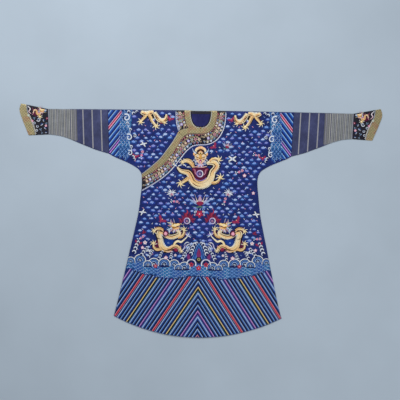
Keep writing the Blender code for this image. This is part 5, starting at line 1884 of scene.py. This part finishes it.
def gilt_brass(name):
    """Gilt brass, cast, chased and burnished: warm and bright on its crown, darker where dirt has stayed."""
    made, tree, shader, at = new_material(name, 0.24, metallic=1.0)
    stops = [(0.3, linear("#6A4A1C")), (0.5, linear("#C9A35A")), (0.7, linear("#F0D48C"))]
    paint(tree, shader, ramp(tree, noise(tree, at, 420.0, 4.0), stops))
    cells = {"Vector": at, "Scale": 900.0}
    chased = add(tree, "ShaderNodeTexVoronoi", cells, feature="DISTANCE_TO_EDGE").outputs["Distance"]
    bump(tree, shader, chased, 0.5, 0.3 * MM)
    return made


def floor_paper(name, colour):
    """Matt paper under soft light: nearly even, with a fine tooth."""
    made, tree, shader, at = new_material(name, 0.9)
    colour = np.array(colour)
    stops = [(0.35, colour * 0.97), (0.65, np.minimum(colour * 1.03, 1))]
    paint(tree, shader, ramp(tree, noise(tree, at, 2.0, 3.0), stops))
    bump(tree, shader, noise(tree, at, 900.0), 0.1, 0.1 * MM)
    return made


def colour_setting(name, description, code):
    return bpy.props.FloatVectorProperty(
        name=name, description=description, subtype="COLOR", size=3, min=0, max=1, default=tuple(linear(code))
    )


class RobeColours(bpy.types.PropertyGroup):
    ground: colour_setting("Ground", "Silk satin of the body", "#142566")
    sleeve: colour_setting("Sleeve", "Plain silk of the sleeves", "#3A3F63")
    ribs: colour_setting("Ribbed sleeve", "Ribbed silk above the cuffs", "#84888F")
    brocade: colour_setting("Brocade", "Gold brocade of the bindings", "#9E936E")
    band: colour_setting("Band", "Dark satin under the collar's and cuffs' embroidery", "#1C1A26")
    lining: colour_setting("Lining", "Silk lining inside the neck", "#181A54")
    facing: colour_setting("Facing", "Dark strip at the neck's back edge", "#25232E")
    floor: colour_setting("Floor", "Paper that the robe lies on", "#B4C1CD")


class RobeSizes(bpy.types.PropertyGroup):
    cord: bpy.props.FloatProperty(
        name="Cord", description="Width of the white edging cord", default=4 * MM, min=0.001, unit="LENGTH"
    )
    camera_height: bpy.props.FloatProperty(
        name="Camera height",
        description="Height of the lens over the robe",
        default=5.68,
        min=1,
        unit="LENGTH",
    )
    camera_turn: bpy.props.FloatProperty(
        name="Camera turn",
        description="How far the camera is turned about the upright axis",
        default=math.radians(0.9),
        subtype="ANGLE",
    )


SIDES = ((1, "left"), (-1, "right"))
FACES = ((False, "front"), (True, "back"))


class ROBE_OT_body(bpy.types.Operator):
    """The body's two halves and the outer front, in blue satin"""

    bl_idname = "robe.body"
    bl_label = "Body"

    def execute(self, context):
        satin = silk_satin("blue_silk_satin", context.scene.robe_colours.ground)
        for side, label in SIDES:
            body_half(side, label, satin)
        outer_front(satin)
        return {"FINISHED"}


class ROBE_OT_sleeves(bpy.types.Operator):
    """The plain and the ribbed part of each sleeve, with the lines across them"""

    bl_idname = "robe.sleeves"
    bl_label = "Sleeves"

    def execute(self, context):
        colours = context.scene.robe_colours
        plain = silk_satin("navy_silk_plain", colours.sleeve, 0.5)
        ribbed = ribbed_silk("ribbed_silk_grey", colours.ribs)
        for side, label in SIDES:
            plain_sleeve(side, label, plain)
            ribbed_sleeve(side, label, ribbed)
        floss = thread("silk_floss_lines", 0.0, 0.45, 0.08)
        for behind, label in FACES:
            drape(f"sleeve_lines_{label}", floss, sleeve_lines(), behind)
            drape(f"rib_lines_{label}", floss, rib_lines(), behind)
        return {"FINISHED"}


class ROBE_OT_bindings(bpy.types.Operator):
    """Collar, lapel and cuffs: gold brocade round dark satin, and what shows inside the neck"""

    bl_idname = "robe.bindings"
    bl_label = "Bindings"

    def execute(self, context):
        colours = context.scene.robe_colours
        brocade = gold_brocade("gold_brocade_silk", colours.brocade)
        dark = silk_satin("dark_band_satin", colours.band, 0.45)
        for side, label in SIDES:
            ring_strip("neck_binding", "opening", "binding", side, label, brocade)
            ring_strip("collar", "binding", "collar", side, label, dark)
            cuff_part("cuff", side, label, 0, 1, 14, dark)
            cuff_part("cuff_binding", side, label, 1, 2, 6, brocade)
        lapel_strip("lapel_binding", 0, 1, 6, brocade)
        lapel_strip("lapel_band", 1, 2, 7, dark)
        lining = silk_satin("lining_silk_satin", colours.lining, 0.38)
        neck_inside(lining, silk_satin("facing_silk_plain", colours.facing, 0.55))
        for node in ("neck_loop", "lapel_loop"):
            bpy.data.objects[node].data.materials[0] = brocade
        return {"FINISHED"}


class ROBE_OT_buttons(bpy.types.Operator):
    """Gilt ball buttons"""

    bl_idname = "robe.buttons"
    bl_label = "Buttons"

    def execute(self, context):
        gilt = gilt_brass("gilt_brass_chased")
        for node in ("neck_button", "lapel_button"):
            bpy.data.objects[node].data.materials[0] = gilt
        return {"FINISHED"}


class ROBE_OT_dragons(bpy.types.Operator):
    """The dragons of the front and the back, in gilt thread"""

    bl_idname = "robe.dragons"
    bl_label = "Dragons"

    def execute(self, context):
        gilt = thread("gilt_couched_thread", 0.2, 0.42, 0.04)
        drape("dragons_front", gilt, dragons())
        drape("dragons_back", gilt, dragons(), behind=True)
        return {"FINISHED"}


class ROBE_OT_clouds(bpy.types.Operator):
    """Clouds and emblems over the ground, in silk floss"""

    bl_idname = "robe.clouds"
    bl_label = "Clouds and emblems"

    def execute(self, context):
        floss = thread("silk_floss", 0.0, 0.4, 0.08)
        for behind, label in FACES:
            drape(f"clouds_{label}", floss, clouds(behind), behind)
            drape(f"emblems_{label}", floss, emblems(behind), behind)
        return {"FINISHED"}


class ROBE_OT_waves(bpy.types.Operator):
    """The sea at the foot and the slanted stripes below it, in silk floss"""

    bl_idname = "robe.waves"
    bl_label = "Waves and stripes"

    def execute(self, context):
        floss = thread("silk_floss_sea", 0.0, 0.4, 0.08)
        for behind, label in FACES:
            drape(f"waves_{label}", floss, waves(), behind)
            drape(f"hem_stripes_{label}", floss, hem_stripes().both(), behind)
            drape(f"sleeve_stripes_{label}", floss, sleeve_stripes().both(), behind)
        return {"FINISHED"}


class ROBE_OT_band_embroidery(bpy.types.Operator):
    """Flowers and scrolls on the collar, the lapel and the cuffs"""

    bl_idname = "robe.band_embroidery"
    bl_label = "Band embroidery"

    def execute(self, context):
        floss = thread("silk_floss_bands", 0.05, 0.42, 0.06)
        left = band_pattern(lambda share: band_line(share, False))
        right = band_pattern(
            lambda share: band_line(share, False) * (-1, 1), lambda x, depth: above_lapel(x, depth) > 0.012
        )
        front = left + right + band_pattern(lapel_line) + cuff_pattern().both()
        drape("band_embroidery_front", floss, front)
        back = band_pattern(lambda share: band_line(share, True), size=0.9).both() + cuff_pattern().both()
        drape("band_embroidery_back", floss, back, True)
        return {"FINISHED"}


class ROBE_OT_cords(bpy.types.Operator):
    """White cords sewn down along the edges"""

    bl_idname = "robe.cords"
    bl_label = "Edging cords"

    def execute(self, context):
        cord = thread("silk_cord_white", 0.0, 0.5, 0.06)
        width = context.scene.robe_sizes.cord / MM
        drape("edging_cords_front", cord, ground_cords(width))
        drape("edging_cords_back", cord, ground_cords(width, True), behind=True)
        return {"FINISHED"}


FLOOR_SIZE = 14
FLOOR_DROP = 0.4 * MM
LENS, SENSOR = 85, 36  # of the camera, in millimetres
AMBIENT, AMBIENT_POWER = "#DDE4EC", 0.34
CAMERA_CENTRE = (0.003, 0.132)

# The lights: name, place, size and power
LIGHTS = (
    ("key", (-0.9, 2.6, 3.2), 2.6, 110),
    ("fill", (1.8, -1.6, 3.6), 3.0, 50),
)

class ROBE_OT_stage(bpy.types.Operator):
    """Floor, soft studio light and the camera straight above"""

    bl_idname = "robe.stage"
    bl_label = "Stage"

    def execute(self, context):
        scene, sizes = context.scene, context.scene.robe_sizes
        bpy.ops.mesh.primitive_plane_add(size=FLOOR_SIZE, location=(0, 0, -FLOOR_DROP))
        floor = context.object
        floor.name = "floor"
        floor.data.materials.append(floor_paper("floor_paper", scene.robe_colours.floor))
        for name, place, size, power in LIGHTS:
            light = bpy.data.lights.new(name, "AREA")
            light.size, light.energy = size, power
            lamp = bpy.data.objects.new(name, light)
            lamp.location = place
            x, y, z = place
            lamp.rotation_euler = (math.atan2(math.hypot(x, y), z), 0, math.atan2(x, -y))
            scene.collection.objects.link(lamp)
        scene.world = scene.world or bpy.data.worlds.new("world")
        scene.world.use_nodes = True
        background = scene.world.node_tree.nodes["Background"]
        background.inputs["Color"].default_value = (*linear(AMBIENT), 1)
        background.inputs["Strength"].default_value = AMBIENT_POWER
        scene.view_settings.view_transform = "Standard"
        data = bpy.data.cameras.new("camera")
        data.lens, data.sensor_width = LENS, SENSOR
        camera = bpy.data.objects.new("camera", data)
        camera.location = (*CAMERA_CENTRE, sizes.camera_height)
        camera.rotation_euler = (0, 0, sizes.camera_turn)
        scene.collection.objects.link(camera)
        scene.camera = camera
        return {"FINISHED"}


OPERATORS = (
    ROBE_OT_stage,
    ROBE_OT_body,
    ROBE_OT_sleeves,
    ROBE_OT_bindings,
    ROBE_OT_buttons,
    ROBE_OT_dragons,
    ROBE_OT_clouds,
    ROBE_OT_waves,
    ROBE_OT_band_embroidery,
    ROBE_OT_cords,
)


class ROBE_PT_panel(bpy.types.Panel):
    """Lists the robe's settings and pieces"""

    bl_label = "Dragon robe"
    bl_idname = "ROBE_PT_panel"
    bl_space_type = "VIEW_3D"
    bl_region_type = "UI"
    bl_category = "Robe"

    def draw(self, context):
        for group in (context.scene.robe_colours, context.scene.robe_sizes):
            for name in group.__annotations__:
                self.layout.prop(group, name)
        for operator in OPERATORS:
            self.layout.operator(operator.bl_idname)


CLASSES = (RobeColours, RobeSizes, *OPERATORS, ROBE_PT_panel)


def register():
    for kind in CLASSES:
        bpy.utils.register_class(kind)
    bpy.types.Scene.robe_colours = bpy.props.PointerProperty(type=RobeColours)
    bpy.types.Scene.robe_sizes = bpy.props.PointerProperty(type=RobeSizes)


def unregister():
    del bpy.types.Scene.robe_sizes
    del bpy.types.Scene.robe_colours
    for kind in reversed(CLASSES):
        bpy.utils.unregister_class(kind)


def main():
    register()
    for operator in OPERATORS:
        group, name = operator.bl_idname.split(".")
        getattr(getattr(bpy.ops, group), name)()


if __name__ == "__main__":
    main()
